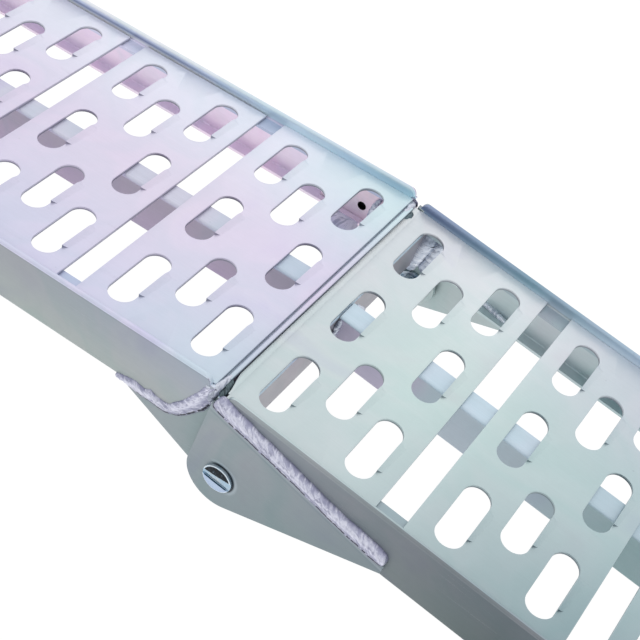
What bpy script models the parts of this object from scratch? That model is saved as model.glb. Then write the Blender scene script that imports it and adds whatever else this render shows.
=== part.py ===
"""Folding loading ramp: two folded-sheet halves with perforated deck panels, hinged by gusset
plates and pivot bolts.

The scene is in metres, +Z up. +X runs from the hook-plate end of half A to the ground-plate end
of half B, and +Y points to the far side. The origin is the middle of the footprint on the ground.
The ramp is open, with the outer ends of its rails level with each other.
Each half is laid out in its own frame, in millimetres: x along the half, y across it, z square to
the deck with z = 0 on the tread surface. x = 0 is the line where the two deck planes cross.
"""

import math

import bmesh
import bpy
from mathutils import Matrix, Vector

MM = 0.001
SIDES = ((-1, "near"), (1, "far"))

# ---- driving dimensions, millimetres and degrees ----
GAP = 0.3                     # clearance between touching pieces
ARCH = 7.486                  # angle between the two decks
BUTT_X = 35.3                 # butt line of the two halves

HALF_WIDTH = 107.5            # outer face of a side rail
RAIL_T = 2.0
RAIL_BOTTOM = -36.5
RAIL_OVERHANG = 3.3           # rail beyond the outermost panel
RAIL_B_SETBACK = 0.9          # hinge end of rail B from the butt line
LIP_TOP = 6.0                 # folded lip above the tread surface
LIP_T = 3.5
TOP_FLANGE_EDGE = 93.5        # inner edges of the rail flanges
BOTTOM_FLANGE_EDGE = 97.5
SHEET_TOP = -2.3              # top of all framing under the panels
FRAME_T = 2.0                 # framing sheet
BEND_R = 2.4                  # outer bend of rails and cross-members
RIB_BEND_R = 1.6
INSIDE_RAIL = HALF_WIDTH - RAIL_T - GAP
FLANGE_UNDERSIDE = SHEET_TOP - RAIL_T

# Rail trimming, measured along the rail from its hinge end
LIP_START = 11.0              # the lip reaches its full height here
LIP_END_R = 6.0               # rounded end of the lip
TOP_FLANGE_TRIM = 5.0
BOTTOM_FLANGE_TRIM_A = 67.0
BOTTOM_FLANGE_TRIM_B = 46.0
WEB_MARGIN = 0.01             # keeps the flange cutters clear of the web
# Slanted cut through the web of rail A, as (x, z)
SLANT_BOTTOM = RAIL_BOTTOM - 2.73
WEB_SLANT = [(4.0, SLANT_BOTTOM), (52.0, SLANT_BOTTOM), (52.0, 12.0), (38.5, 8.0)]

PANEL_T = 2.0
PANEL_L = 98.4
PANEL_W = 207.2
PANELS = 9
PITCH_A = 112.1
PITCH_B = 116.0
# Hinge edge of the first panel, measured from the crossing line toward the outer end
PANEL_A_START = -31.5
PANEL_B_START = 37.7

SLOT_R = 8.3
SLOT_STRAIGHT = 15.0          # half length of the straight sides
SLOT_COLUMNS = (20.5, 49.2, 77.9)
ROW_THREE = (-70.0, 0.0, 70.0)     # outer columns
ROW_TWO = (-46.4, 46.4)            # middle column
SLOT_ARC_STEPS = 8            # segments in half a turn
TOOTH_H = 1.8
TOOTH_W = 4.6
TOOTH_HALF = 15.0             # half length
TOOTH_SETBACK = 0.2           # steep face from the slot edge
TOOTH_ROOT = -1.0             # underside, sunk into the panel
TOOTH_TAPER = 2.5             # shortening of the far edge at each end
CREST_INSET_NEAR = 1.2        # crest ends from the tooth ends
CREST_INSET_FAR = 4.0

RIB_NEAR = -6.5
RIB_FAR = 8.5
RIB_BOTTOM = -35.0

CROSS_SETBACK = 15.3          # hinge cross-member web from the butt line
CROSS_B_CLEARANCE = 0.5       # its flange on half B from the butt line
CROSS_HALF = 101.5
END_FLANGE = 16.0             # flange of the end cross-members

PIVOT_X, PIVOT_Z = 56.0, -54.0     # in the frame of half B
GUSSET_T = 3.0
GUSSET_B_IN = HALF_WIDTH + GAP
GUSSET_A_OUT = INSIDE_RAIL
GUSSET_A_TOP = FLANGE_UNDERSIDE - 0.7
GUSSET_B_R = 21.5             # rounded around the pivot
GUSSET_A_R = 16.0
# Gusset corners other than the round at the pivot, as (x, z)
GUSSET_B_CORNERS = [(35.5, -2.5), (157.5, -23.2), (157.5, -30.2)]
GUSSET_A_CORNERS = [
    (-30.0, -38.4), (-30.0, -31.0), (-4.0, GUSSET_A_TOP), (BUTT_X - 0.6, GUSSET_A_TOP),
]
SMALL_HOLE_X, SMALL_HOLE_Z, SMALL_HOLE_R = -1.0, -25.0, 2.6

# Weld runs, as (x, z)
WELD_B_PATH = [(38.8, 0.3), (96.0, -9.5), (155.0, -19.5)]
WELD_A_PATH = [(-28.0, -39.3), (6.5, -39.3), (10.0, -37.0), (29.0, -11.0)]
WELD_B_R = 3.0
WELD_A_R = 2.3
WELD_A_OFFSET = 0.2           # outside the rail face

BOLT_R = 5.0
BOLT_HOLE_R = BOLT_R + GAP
BOLT_TAIL = 12.9              # bolt end beyond gusset A
BOLT_CHAMFER_R, BOLT_CHAMFER_L = 0.6, 0.7
HEAD_R = 9.4
HEAD_H = 3.4
HEAD_EDGE = ((0.0, 0.9), (0.3, 0.35), (1.0, 0.0))   # (inset from the rim, depth below the top)
DRIVE_SLOT_DEPTH = 1.8
DRIVE_SLOT_HALF = 2.2
DRIVE_SLOT_ANGLE = 22
SPACER_R = 11.0
WASHER_R = 10.0
WASHER_T = 2.0
NUT_HALF_FLATS = 8.0
NUT_H = 8.0

PLATE_HALF = 98.0             # half width of the hook and ground plates
HOOK_T = 4.0
FOOT_T = 3.0
# Centre lines of the plates beyond their bend, as (distance beyond the rail end, z)
HOOK_TAIL = [(26.0, -2.0), (29.0, -2.8), (36.5, -14.5)]
FOOT_TAIL = [(10.0, -2.9), (38.8, RAIL_BOTTOM + 4.6)]

# Base colour and roughness
ZINC = {
    "deck_a": ((0.70, 0.66, 0.80, 1), 0.34),
    "deck_b": ((0.62, 0.74, 0.74, 1), 0.34),
    "rail_a": ((0.52, 0.56, 0.58, 1), 0.36),
    "rail_b": ((0.50, 0.53, 0.57, 1), 0.36),
    "frame_a": ((0.55, 0.50, 0.58, 1), 0.40),
    "frame_b": ((0.54, 0.58, 0.60, 1), 0.40),
    "gusset": ((0.52, 0.57, 0.58, 1), 0.38),
    "weld": ((0.58, 0.60, 0.70, 1), 0.30),
    "fastener": ((0.62, 0.70, 0.76, 1), 0.22),
}
ZINC_METALLIC = 0.9
SHEET_SHARP_ANGLE = 32        # edges steeper than this are shaded sharp
WELD_SHARP_ANGLE = 50

for old in list(bpy.data.objects):
    bpy.data.objects.remove(old, do_unlink=True)

scene = bpy.context.scene
scene.unit_settings.system = "METRIC"
scene.unit_settings.scale_length = 1.0
parts = bpy.data.collections.new("folding_loading_ramp")
scene.collection.children.link(parts)


# ---- flat outlines ----
def arc(centre_x, centre_y, radius, start, end, steps):
    """Points on a circle from one angle to another, degrees."""
    angles = [math.radians(start + (end - start) * i / steps) for i in range(steps + 1)]
    return [(centre_x + radius * math.cos(a), centre_y + radius * math.sin(a)) for a in angles]


def circle(centre_x, centre_y, radius, steps=24):
    angles = [2 * math.pi * i / steps for i in range(steps)]
    return [(centre_x + radius * math.cos(a), centre_y + radius * math.sin(a)) for a in angles]


def hull(points):
    """Convex outline of flat points, counterclockwise."""
    ordered = sorted(set((round(x, 6), round(y, 6)) for x, y in points))

    def turns_left(first, middle, last):
        cross = (middle[0] - first[0]) * (last[1] - first[1])
        cross -= (middle[1] - first[1]) * (last[0] - first[0])
        return cross > 1e-9

    def chain(sequence):
        kept = []
        for point in sequence:
            while len(kept) > 1 and not turns_left(kept[-2], kept[-1], point):
                kept.pop()
            kept.append(point)
        return kept[:-1]

    return chain(ordered) + chain(reversed(ordered))


# ---- meshes ----
# Turns for an outline: in (y, z) with its thickness along x, in (x, z) with it along y, flat.
ALONG_X = Matrix(((0, 0, 1, 0), (1, 0, 0, 0), (0, 1, 0, 0), (0, 0, 0, 1)))
ALONG_Y = Matrix(((1, 0, 0, 0), (0, 0, -1, 0), (0, 1, 0, 0), (0, 0, 0, 1)))
ALONG_Z = Matrix.Identity(4)


def mirrored(side, low, high):
    """Limits across the half, given as distances from the centre line on one side."""
    return (low, high) if side > 0 else (-high, -low)


def evaluated_mesh(obj):
    """The mesh of a temporary object after its modifiers or curve settings."""
    bpy.context.view_layer.update()
    graph = bpy.context.evaluated_depsgraph_get()
    mesh = bpy.data.meshes.new_from_object(obj.evaluated_get(graph))
    bpy.data.objects.remove(obj, do_unlink=True)
    return mesh


def mesh_from_curve(data):
    obj = bpy.data.objects.new("outline", data)
    scene.collection.objects.link(obj)
    mesh = evaluated_mesh(obj)
    bpy.data.curves.remove(data)
    return mesh


def mesh_from_bmesh(name, bm):
    bmesh.ops.recalc_face_normals(bm, faces=bm.faces)
    mesh = bpy.data.meshes.new(name)
    bm.to_mesh(mesh)
    bm.free()
    return mesh


def welded(mesh):
    """The mesh with coincident points merged and its normals outward."""
    bm = bmesh.new()
    bm.from_mesh(mesh)
    bmesh.ops.remove_doubles(bm, verts=bm.verts, dist=1e-6)
    bmesh.ops.recalc_face_normals(bm, faces=bm.faces)
    bm.to_mesh(mesh)
    bm.free()
    return mesh


def prism(loops, limits, turn):
    """A filled outline with holes, between two levels on its thickness axis."""
    low, high = limits
    data = bpy.data.curves.new("outline", "CURVE")
    data.dimensions = "2D"
    data.fill_mode = "BOTH"
    data.extrude = (high - low) / 2 * MM
    for loop in loops:
        spline = data.splines.new("POLY")
        spline.points.add(len(loop) - 1)
        for point, (x, y) in zip(spline.points, loop):
            point.co = (x * MM, y * MM, 0, 1)
        spline.use_cyclic_u = True
    mesh = mesh_from_curve(data)
    middle = (low + high) / 2 * MM
    # ALONG_Y points the thickness axis toward -Y.
    if turn is ALONG_Y:
        middle = -middle
    mesh.transform(turn @ Matrix.Translation((0, 0, middle)))
    return welded(mesh)


def side_plate(loops, side, low, high):
    """A plate with an (x, z) outline, between two distances from the centre line."""
    return prism(loops, mirrored(side, low, high), ALONG_Y)


def box(*limits):
    """A box from its x, y and z limits."""
    bm = bmesh.new()
    bmesh.ops.create_cube(bm, size=1.0)
    size = Matrix.Diagonal([(high - low) * MM for low, high in limits] + [1])
    centre = Matrix.Translation([(low + high) / 2 * MM for low, high in limits])
    bmesh.ops.transform(bm, matrix=centre @ size, verts=bm.verts)
    return mesh_from_bmesh("box", bm)


def turned_solid(rings, side, steps):
    """A solid turned about the y axis from (radius, y) rings, closed by the end rings."""
    bm = bmesh.new()
    loops = []
    for radius, y in rings:
        loops.append([
            bm.verts.new((x * MM, y * side * MM, z * MM)) for x, z in circle(0, 0, radius, steps)
        ])
    for loop, following in zip(loops, loops[1:]):
        for i in range(steps):
            j = (i + 1) % steps
            bm.faces.new((loop[i], loop[j], following[j], following[i]))
    bm.faces.new(loops[0])
    bm.faces.new(loops[-1])
    return mesh_from_bmesh("turned", bm)


def joined(meshes):
    """Several meshes as one, without a Boolean."""
    bm = bmesh.new()
    for mesh in meshes:
        bm.from_mesh(mesh)
    return mesh_from_bmesh("joined", bm)


def boolean(mesh, others, operation):
    """The mesh after one exact Boolean with each of the other meshes in turn."""
    for other in others:
        host = bpy.data.objects.new("host", mesh)
        tool = bpy.data.objects.new("tool", other)
        scene.collection.objects.link(host)
        scene.collection.objects.link(tool)
        change = host.modifiers.new("change", "BOOLEAN")
        change.operation = operation
        change.solver = "EXACT"
        change.object = tool
        mesh = evaluated_mesh(host)
        bpy.data.objects.remove(tool, do_unlink=True)
        bm = bmesh.new()
        bm.from_mesh(mesh)
        bmesh.ops.remove_doubles(bm, verts=bm.verts, dist=1e-6)
        bmesh.ops.dissolve_degenerate(bm, edges=bm.edges, dist=1e-6)
        bm.to_mesh(mesh)
        bm.free()
    return mesh


# ---- objects ----
def material(key):
    name = "zinc_" + key
    found = bpy.data.materials.get(name)
    if found:
        return found
    made = bpy.data.materials.new(name)
    made.use_nodes = True
    shader = made.node_tree.nodes["Principled BSDF"]
    colour, roughness = ZINC[key]
    shader.inputs["Base Color"].default_value = colour
    shader.inputs["Roughness"].default_value = roughness
    shader.inputs["Metallic"].default_value = ZINC_METALLIC
    made.diffuse_color = colour
    return made


def piece(name, mesh, key, parent, sharp_angle=SHEET_SHARP_ANGLE):
    obj = bpy.data.objects.new(name, mesh)
    mesh.name = name
    # A Boolean may leave slots of its own.
    mesh.materials.clear()
    mesh.materials.append(material(key))
    for face in mesh.polygons:
        face.material_index = 0
        face.use_smooth = True
    mesh.set_sharp_from_angle(angle=math.radians(sharp_angle))
    parts.objects.link(obj)
    obj.parent = parent


def empty(name, matrix):
    obj = bpy.data.objects.new(name, None)
    obj.empty_display_size = 0.05
    obj.matrix_world = matrix
    parts.objects.link(obj)
    return obj


# ---- frames ----
def tilt(angle):
    """Rotation about +Y in degrees; a positive angle lowers the +X end."""
    return Matrix.Rotation(math.radians(angle), 4, "Y")


# Outer ends of the rails
END_A = -(PANEL_A_START + PANEL_L + (PANELS - 1) * PITCH_A + RAIL_OVERHANG)
END_B = PANEL_B_START + PANEL_L + (PANELS - 1) * PITCH_B + RAIL_OVERHANG

# Each half falls away from the crossing line by half the arch. The whole ramp is then turned
# a little so that both outer corners are level.
turn_a = tilt(-ARCH / 2)
turn_b = tilt(ARCH / 2)
corner_a = turn_a @ Vector((END_A * MM, 0, RAIL_BOTTOM * MM))
corner_b = turn_b @ Vector((END_B * MM, 0, RAIL_BOTTOM * MM))
level = tilt(math.degrees(math.atan2(corner_b.z - corner_a.z, corner_b.x - corner_a.x)))

# Half B swings on the hinge, so its frame sits on the hinge axis.
pivot_b = Vector((PIVOT_X, 0, PIVOT_Z))
pivot_a = tilt(ARCH) @ pivot_b    # the same axis seen from half A
frame_a = empty("half_a_frame", level @ turn_a)
frame_b = empty("half_b_pivot", level @ turn_b @ Matrix.Translation(pivot_b * MM))


def to_pivot(mesh):
    """Half B is laid out from the crossing line; this moves a mesh to the frame's own origin."""
    mesh.transform(Matrix.Translation(-pivot_b * MM))
    return mesh


# ---- deck panels ----
def slot_loop(x, y):
    upper = arc(x, y + SLOT_STRAIGHT, SLOT_R, 0, 180, SLOT_ARC_STEPS)
    return upper + arc(x, y - SLOT_STRAIGHT, SLOT_R, 180, 360, SLOT_ARC_STEPS)


def tooth(x, y):
    """A raised grip edge beside a slot: a low wedge, steep at the slot and falling away from it."""
    steep = x + SLOT_R + TOOTH_SETBACK
    thin = steep + TOOTH_W
    near, far = y - TOOTH_HALF, y + TOOTH_HALF
    corners = [
        (steep, near, TOOTH_ROOT),
        (thin, near + TOOTH_TAPER, TOOTH_ROOT),
        (thin, far - TOOTH_TAPER, TOOTH_ROOT),
        (steep, far, TOOTH_ROOT),
        (steep, near + CREST_INSET_NEAR, TOOTH_H),
        (steep, far - CREST_INSET_FAR, TOOTH_H),
    ]
    bm = bmesh.new()
    verts = [bm.verts.new([value * MM for value in corner]) for corner in corners]
    for face in ((3, 2, 1, 0), (0, 1, 4), (1, 2, 5, 4), (2, 3, 5), (3, 0, 4, 5)):
        bm.faces.new([verts[i] for i in face])
    return mesh_from_bmesh("tooth", bm)


def panel_mesh():
    """One perforated tread panel with its low-x edge at x = 0."""
    half = PANEL_W / 2
    outline = [(0, -half), (PANEL_L, -half), (PANEL_L, half), (0, half)]
    rows = (ROW_THREE, ROW_TWO, ROW_THREE)
    centres = [(x, y) for x, row in zip(SLOT_COLUMNS, rows) for y in row]
    sheet = prism([outline] + [slot_loop(x, y) for x, y in centres], (-PANEL_T, 0), ALONG_Z)
    return boolean(sheet, [joined([tooth(x, y) for x, y in centres])], "UNION")


def placed_panel(x):
    mesh = master_panel.copy()
    mesh.transform(Matrix.Translation((x * MM, 0, 0)))
    return mesh


master_panel = panel_mesh()
for i in range(PANELS):
    mesh = placed_panel(-(PANEL_A_START + PANEL_L + i * PITCH_A))
    piece("deck_panel_a%d" % (i + 1), mesh, "deck_a", frame_a)
    mesh = placed_panel(PANEL_B_START + i * PITCH_B)
    piece("deck_panel_b%d" % (i + 1), to_pivot(mesh), "deck_b", frame_b)


# ---- side rails ----
def rail_profile(side):
    """Section of a side rail in (y, z): bottom flange, web, folded lip and top flange."""
    web_in = HALF_WIDTH - RAIL_T
    lip_r = LIP_T / 2
    points = [(BOTTOM_FLANGE_EDGE, RAIL_BOTTOM)]
    points += arc(HALF_WIDTH - BEND_R, RAIL_BOTTOM + BEND_R, BEND_R, 270, 360, 3)
    points += arc(HALF_WIDTH - lip_r, LIP_TOP - lip_r, lip_r, 0, 180, 6)
    points += [
        (HALF_WIDTH - LIP_T, SHEET_TOP),
        (TOP_FLANGE_EDGE, SHEET_TOP),
        (TOP_FLANGE_EDGE, FLANGE_UNDERSIDE),
        (web_in, FLANGE_UNDERSIDE),
        (web_in, RAIL_BOTTOM + RAIL_T),
        (BOTTOM_FLANGE_EDGE, RAIL_BOTTOM + RAIL_T),
    ]
    return [(side * y, z) for y, z in points]


def rail_mesh(side, hinge_end, outer_end, bottom_trim, slanted):
    """A rail between two stations, with lip and flanges cut back at the hinge end."""
    outward = 1 if outer_end > hinge_end else -1
    web_in = HALF_WIDTH - RAIL_T - WEB_MARGIN

    def trim(length):
        return sorted((hinge_end - outward * 2, hinge_end + outward * length))

    # The cutters reach a few millimetres past the sheet they remove.
    lip_cut = [(-2, LIP_TOP + 2), (-2, 0.0)]
    lip_cut += [(LIP_START - x, z) for x, z in arc(0, 0, LIP_END_R, 0, 90, 6)]
    lip_cut += [(LIP_START, LIP_TOP + 2)]
    lip_cut = [(hinge_end + outward * x, z) for x, z in lip_cut]
    tools = [
        side_plate([lip_cut], side, TOP_FLANGE_EDGE - 10, HALF_WIDTH + 4),
        box(trim(bottom_trim), mirrored(side, BOTTOM_FLANGE_EDGE - 4, web_in),
            (RAIL_BOTTOM - 3, RAIL_BOTTOM + 6)),
        box(trim(TOP_FLANGE_TRIM), mirrored(side, TOP_FLANGE_EDGE - 4, web_in),
            (SHEET_TOP - 5, 1.0)),
    ]
    if slanted:
        tools.append(side_plate([WEB_SLANT], side, HALF_WIDTH - 16, HALF_WIDTH + 4))
    rail = prism([rail_profile(side)], sorted((hinge_end, outer_end)), ALONG_X)
    return boolean(rail, tools, "DIFFERENCE")


for side, label in SIDES:
    # The web of half A is slanted so that the gusset of half B has room beside it.
    mesh = rail_mesh(side, BUTT_X - GAP, END_A, BOTTOM_FLANGE_TRIM_A, slanted=True)
    piece("side_rail_a_" + label, mesh, "rail_a", frame_a)
    mesh = rail_mesh(side, BUTT_X + RAIL_B_SETBACK, END_B, BOTTOM_FLANGE_TRIM_B, slanted=False)
    piece("side_rail_b_" + label, to_pivot(mesh), "rail_b", frame_b)


# ---- centre ribs ----
def rib_mesh(start, end):
    """A channel along the half, open toward the far side."""
    section = [
        (RIB_FAR, RIB_BOTTOM),
        (RIB_FAR, RIB_BOTTOM + FRAME_T),
        (RIB_NEAR + FRAME_T, RIB_BOTTOM + FRAME_T),
        (RIB_NEAR + FRAME_T, SHEET_TOP - FRAME_T),
        (RIB_FAR, SHEET_TOP - FRAME_T),
        (RIB_FAR, SHEET_TOP),
    ]
    bend_y = RIB_NEAR + RIB_BEND_R
    section += arc(bend_y, SHEET_TOP - RIB_BEND_R, RIB_BEND_R, 90, 180, 3)
    section += arc(bend_y, RIB_BOTTOM + RIB_BEND_R, RIB_BEND_R, 180, 270, 3)
    return prism([section], (start, end), ALONG_X)


CROSS_A = BUTT_X - CROSS_SETBACK     # outward-looking faces of the hinge cross-members
CROSS_B = BUTT_X + CROSS_SETBACK
piece("centre_rib_a", rib_mesh(END_A + FRAME_T + GAP, CROSS_A - GAP), "frame_a", frame_a)
mesh = rib_mesh(CROSS_B + GAP, END_B - FRAME_T - GAP)
piece("centre_rib_b", to_pivot(mesh), "frame_b", frame_b)


# ---- cross-members ----
def angle_mesh(web, toward, reach, half, bottom, rib_notch=False):
    """An angle across the half: one web face at a station, and a top flange toward one side."""
    underside = SHEET_TOP - FRAME_T
    section = [(0, bottom), (FRAME_T, bottom), (FRAME_T, underside)]
    section += [(reach, underside), (reach, SHEET_TOP)]
    section += arc(BEND_R, SHEET_TOP - BEND_R, BEND_R, 90, 180, 3)
    section = [(web + toward * x, z) for x, z in section]
    # Keep the same sense of turn for both directions.
    if toward < 0:
        section.reverse()
    mesh = prism([section], (-half, half), ALONG_Y)

    # Flange corners cut away under the top flanges of the rails
    past_flange = web + toward * (reach + 3)
    along = sorted((web - toward * 3, past_flange))
    tools = [
        box(along, mirrored(side, TOP_FLANGE_EDGE - GAP, half + 3), (underside - GAP, 2.0))
        for side, _ in SIDES
    ]
    if rib_notch:
        along = sorted((web + toward * (FRAME_T + GAP / 2), past_flange))
        tools.append(box(along, (RIB_NEAR - GAP, RIB_FAR + GAP), (underside - 2, 2.0)))
    return boolean(mesh, tools, "DIFFERENCE")


mesh = angle_mesh(CROSS_A, 1, CROSS_SETBACK - GAP, CROSS_HALF, RAIL_BOTTOM)
piece("hinge_cross_member_a", mesh, "frame_a", frame_a)
mesh = angle_mesh(CROSS_B, -1, CROSS_SETBACK - CROSS_B_CLEARANCE, CROSS_HALF, RAIL_BOTTOM)
piece("hinge_cross_member_b", to_pivot(mesh), "frame_b", frame_b)
END_BOTTOM = RAIL_BOTTOM + RAIL_T + GAP
mesh = angle_mesh(END_A, 1, END_FLANGE, INSIDE_RAIL, END_BOTTOM, rib_notch=True)
piece("end_cross_member_a", mesh, "frame_a", frame_a)
mesh = angle_mesh(END_B, -1, END_FLANGE, INSIDE_RAIL, END_BOTTOM, rib_notch=True)
piece("end_cross_member_b", to_pivot(mesh), "frame_b", frame_b)


# ---- hook plate and ground plate at the outer ends ----
def bent_plate(path, thickness):
    """A bent strip: an (x, z) centre line offset by half the thickness to both sides."""
    left_side, right_side = [], []
    for i, (x, z) in enumerate(path):
        before = path[max(i - 1, 0)]
        after = path[min(i + 1, len(path) - 1)]
        arriving = Vector((x - before[0], z - before[1]))
        leaving = Vector((after[0] - x, after[1] - z))
        # The end points have one direction only.
        if i == 0:
            arriving = leaving.copy()
        if i == len(path) - 1:
            leaving = arriving.copy()
        arriving.normalize()
        leaving.normalize()
        along = arriving + leaving
        normal = Vector((-along.y, along.x)).normalized()
        mitre = max(0.3, normal.dot(Vector((-arriving.y, arriving.x))))
        offset = thickness / 2 / mitre
        left_side.append((x + normal.x * offset, z + normal.y * offset))
        right_side.append((x - normal.x * offset, z - normal.y * offset))
    return prism([left_side + right_side[::-1]], (-PLATE_HALF, PLATE_HALF), ALONG_Y)


def end_plate(end, outward, thickness, bottom, bend_z, bend_r, bend_angles, tail):
    """A plate that rises against a rail end, bends outward and follows its tail points."""
    face = GAP + thickness / 2
    path = [(face, bottom), (face, bend_z)]
    for angle in bend_angles:
        turn = math.radians(angle)
        path.append((face + bend_r - bend_r * math.cos(turn), bend_z + bend_r * math.sin(turn)))
    path += tail
    return bent_plate([(end + outward * x, z) for x, z in path], thickness)


mesh = end_plate(END_A, -1, HOOK_T, bottom=-30.0, bend_z=-7.0, bend_r=5.0,
                 bend_angles=(30, 60, 90), tail=HOOK_TAIL)
piece("hook_plate_a", mesh, "frame_a", frame_a)
mesh = end_plate(END_B, 1, FOOT_T, bottom=-24.0, bend_z=-5.5, bend_r=3.0,
                 bend_angles=(40, 90), tail=FOOT_TAIL)
piece("ground_plate_b", to_pivot(mesh), "frame_b", frame_b)


# ---- hinge gussets: those of half B outside the rails, those of half A inside ----
outline_b = hull(GUSSET_B_CORNERS + circle(PIVOT_X, PIVOT_Z, GUSSET_B_R, 48))
outline_a = hull(GUSSET_A_CORNERS + circle(pivot_a.x, pivot_a.z, GUSSET_A_R, 48))
bolt_hole_b = circle(PIVOT_X, PIVOT_Z, BOLT_HOLE_R)
bolt_hole_a = circle(pivot_a.x, pivot_a.z, BOLT_HOLE_R)
small_hole = circle(SMALL_HOLE_X, SMALL_HOLE_Z, SMALL_HOLE_R, 12)
for side, label in SIDES:
    mesh = side_plate([outline_b, bolt_hole_b], side, GUSSET_B_IN, GUSSET_B_IN + GUSSET_T)
    piece("hinge_gusset_b_" + label, to_pivot(mesh), "gusset", frame_b)
    loops = [outline_a, bolt_hole_a, small_hole]
    mesh = side_plate(loops, side, GUSSET_A_OUT - GUSSET_T, GUSSET_A_OUT)
    piece("hinge_gusset_a_" + label, mesh, "gusset", frame_a)


# ---- weld beads ----
def bead(path, y, radius):
    """A round weld run through (x, z) points at one distance across the half."""
    data = bpy.data.curves.new("bead", "CURVE")
    data.dimensions = "3D"
    data.bevel_depth = radius * MM
    data.bevel_resolution = 2
    data.use_fill_caps = True
    spline = data.splines.new("POLY")
    spline.points.add(len(path) - 1)
    for point, (x, z) in zip(spline.points, path):
        point.co = (x * MM, y * MM, z * MM, 1)
    return welded(mesh_from_curve(data))


for side, label in SIDES:
    mesh = bead(WELD_B_PATH, side * (GUSSET_B_IN + GUSSET_T), WELD_B_R)
    piece("weld_bead_b_" + label, to_pivot(mesh), "weld", frame_b, WELD_SHARP_ANGLE)
    mesh = bead(WELD_A_PATH, side * (HALF_WIDTH + WELD_A_OFFSET), WELD_A_R)
    piece("weld_bead_a_" + label, mesh, "weld", frame_a, WELD_SHARP_ANGLE)


# ---- pivot bolts, spacers, washers and nuts, laid out about the hinge axis ----
# Distances from the centre line of the ramp
HEAD_SEAT = GUSSET_B_IN + GUSSET_T + GAP
HEAD_TOP = HEAD_SEAT + HEAD_H
GUSSET_A_IN = GUSSET_A_OUT - GUSSET_T
WASHER_OUT = GUSSET_A_IN - GAP
WASHER_IN = WASHER_OUT - WASHER_T
NUT_OUT = WASHER_IN - GAP


def bolt_mesh(side):
    """A bolt with its slotted head on the outside of the ramp."""
    tail = GUSSET_A_IN - BOLT_TAIL
    rings = [
        (BOLT_R - BOLT_CHAMFER_R, tail),
        (BOLT_R, tail + BOLT_CHAMFER_L),
        (BOLT_R, HEAD_SEAT),
        (HEAD_R, HEAD_SEAT),
    ]
    rings += [(HEAD_R - inset, HEAD_TOP - depth) for inset, depth in HEAD_EDGE]
    slot = box(
        (-HEAD_R - 1, HEAD_R + 1),
        mirrored(side, HEAD_TOP - DRIVE_SLOT_DEPTH, HEAD_TOP + 2),
        (-DRIVE_SLOT_HALF, DRIVE_SLOT_HALF),
    )
    slot.transform(tilt(-DRIVE_SLOT_ANGLE * side))
    return boolean(turned_solid(rings, side, 32), [slot], "DIFFERENCE")


bore = circle(0, 0, BOLT_HOLE_R)
hexagon = circle(0, 0, NUT_HALF_FLATS / math.cos(math.radians(30)), 6)
for side, label in SIDES:
    piece("pivot_bolt_" + label, bolt_mesh(side), "fastener", frame_b)
    for name, outline, low, high in (
        ("pivot_spacer_", circle(0, 0, SPACER_R), GUSSET_A_OUT + GAP, GUSSET_B_IN - GAP),
        ("pivot_washer_", circle(0, 0, WASHER_R), WASHER_IN, WASHER_OUT),
        ("pivot_nut_", hexagon, NUT_OUT - NUT_H, NUT_OUT),
    ):
        mesh = side_plate([outline, bore], side, low, high)
        piece(name + label, mesh, "fastener", frame_b)

# ---- set the origin at the middle of the footprint, on the ground ----
bpy.context.view_layer.update()
solids = [obj for obj in parts.objects if obj.type == "MESH"]
points = [obj.matrix_world @ vert.co for obj in solids for vert in obj.data.vertices]
lowest = [min(point[i] for point in points) for i in range(3)]
highest = [max(point[i] for point in points) for i in range(3)]
settle = Matrix.Translation(
    (-(lowest[0] + highest[0]) / 2, -(lowest[1] + highest[1]) / 2, -lowest[2])
)
for frame in (frame_a, frame_b):
    frame.matrix_world = settle @ frame.matrix_world
bpy.context.view_layer.update()
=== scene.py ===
# A folding ramp in zinc-plated sheet steel: two perforated halves that rise to a hinge.
# Half A runs from the hinge toward -X and half B toward +X. Y is across, Z is up.
# "Near" parts lie on the -Y side, "far" parts on the +Y side.
import math
from functools import cached_property

import bmesh
import bpy
import numpy as np
from mathutils import Matrix, Vector


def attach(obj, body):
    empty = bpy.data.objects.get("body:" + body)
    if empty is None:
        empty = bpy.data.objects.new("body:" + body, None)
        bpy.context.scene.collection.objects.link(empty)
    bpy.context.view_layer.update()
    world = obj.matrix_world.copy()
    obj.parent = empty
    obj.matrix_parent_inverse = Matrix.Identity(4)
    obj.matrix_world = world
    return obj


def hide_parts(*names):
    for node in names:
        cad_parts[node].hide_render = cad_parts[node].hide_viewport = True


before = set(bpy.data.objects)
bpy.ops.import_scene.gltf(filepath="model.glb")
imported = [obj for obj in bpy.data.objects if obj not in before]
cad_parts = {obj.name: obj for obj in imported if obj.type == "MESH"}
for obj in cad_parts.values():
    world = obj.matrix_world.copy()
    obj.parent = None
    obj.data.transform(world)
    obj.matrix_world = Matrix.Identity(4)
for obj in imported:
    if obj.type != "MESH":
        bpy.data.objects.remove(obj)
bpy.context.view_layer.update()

# ---------------------------------------------------------------- frames
# Each half is worked out in its own frame, in millimetres: x along the half, y across it,
# z square to the deck, z = 0 on the tread. Half B turns about the pivot.
MM = 0.001
PIVOT = np.array((56.0, 0.0, -54.0))        # hinge axis in the frame of half B
FOLD = math.radians(7.486)                  # angle between the two decks
HINGE_X = 35.3
END_A, END_B = -967.0, 1067.4               # outer ends of the rails
HALF_WIDTH = 107.5
RAIL_BOTTOM = -36.5
SHEET = 2.0
FLANGE_TOP = -2.3                           # top of the folded flanges, under the tread
FLANGE_UNDER = FLANGE_TOP - SHEET
CROSS_A, CROSS_B = 20.0, 50.6               # webs of the bars beside the hinge
BAR_GAP = 0.3
RIB_NEAR, RIB_FAR = -6.5, 8.5
AXIS = (56.0, -54.0)                        # x, z of the pivot
HEAD = (55.7, -52.1)                        # x, z of the screw head's centre
HOLE = (0.2, -25.2)                         # x, z of the small hole in the upper gusset
BORE = 5.3
SIDES = ((-1, "near"), (1, "far"))


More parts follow.
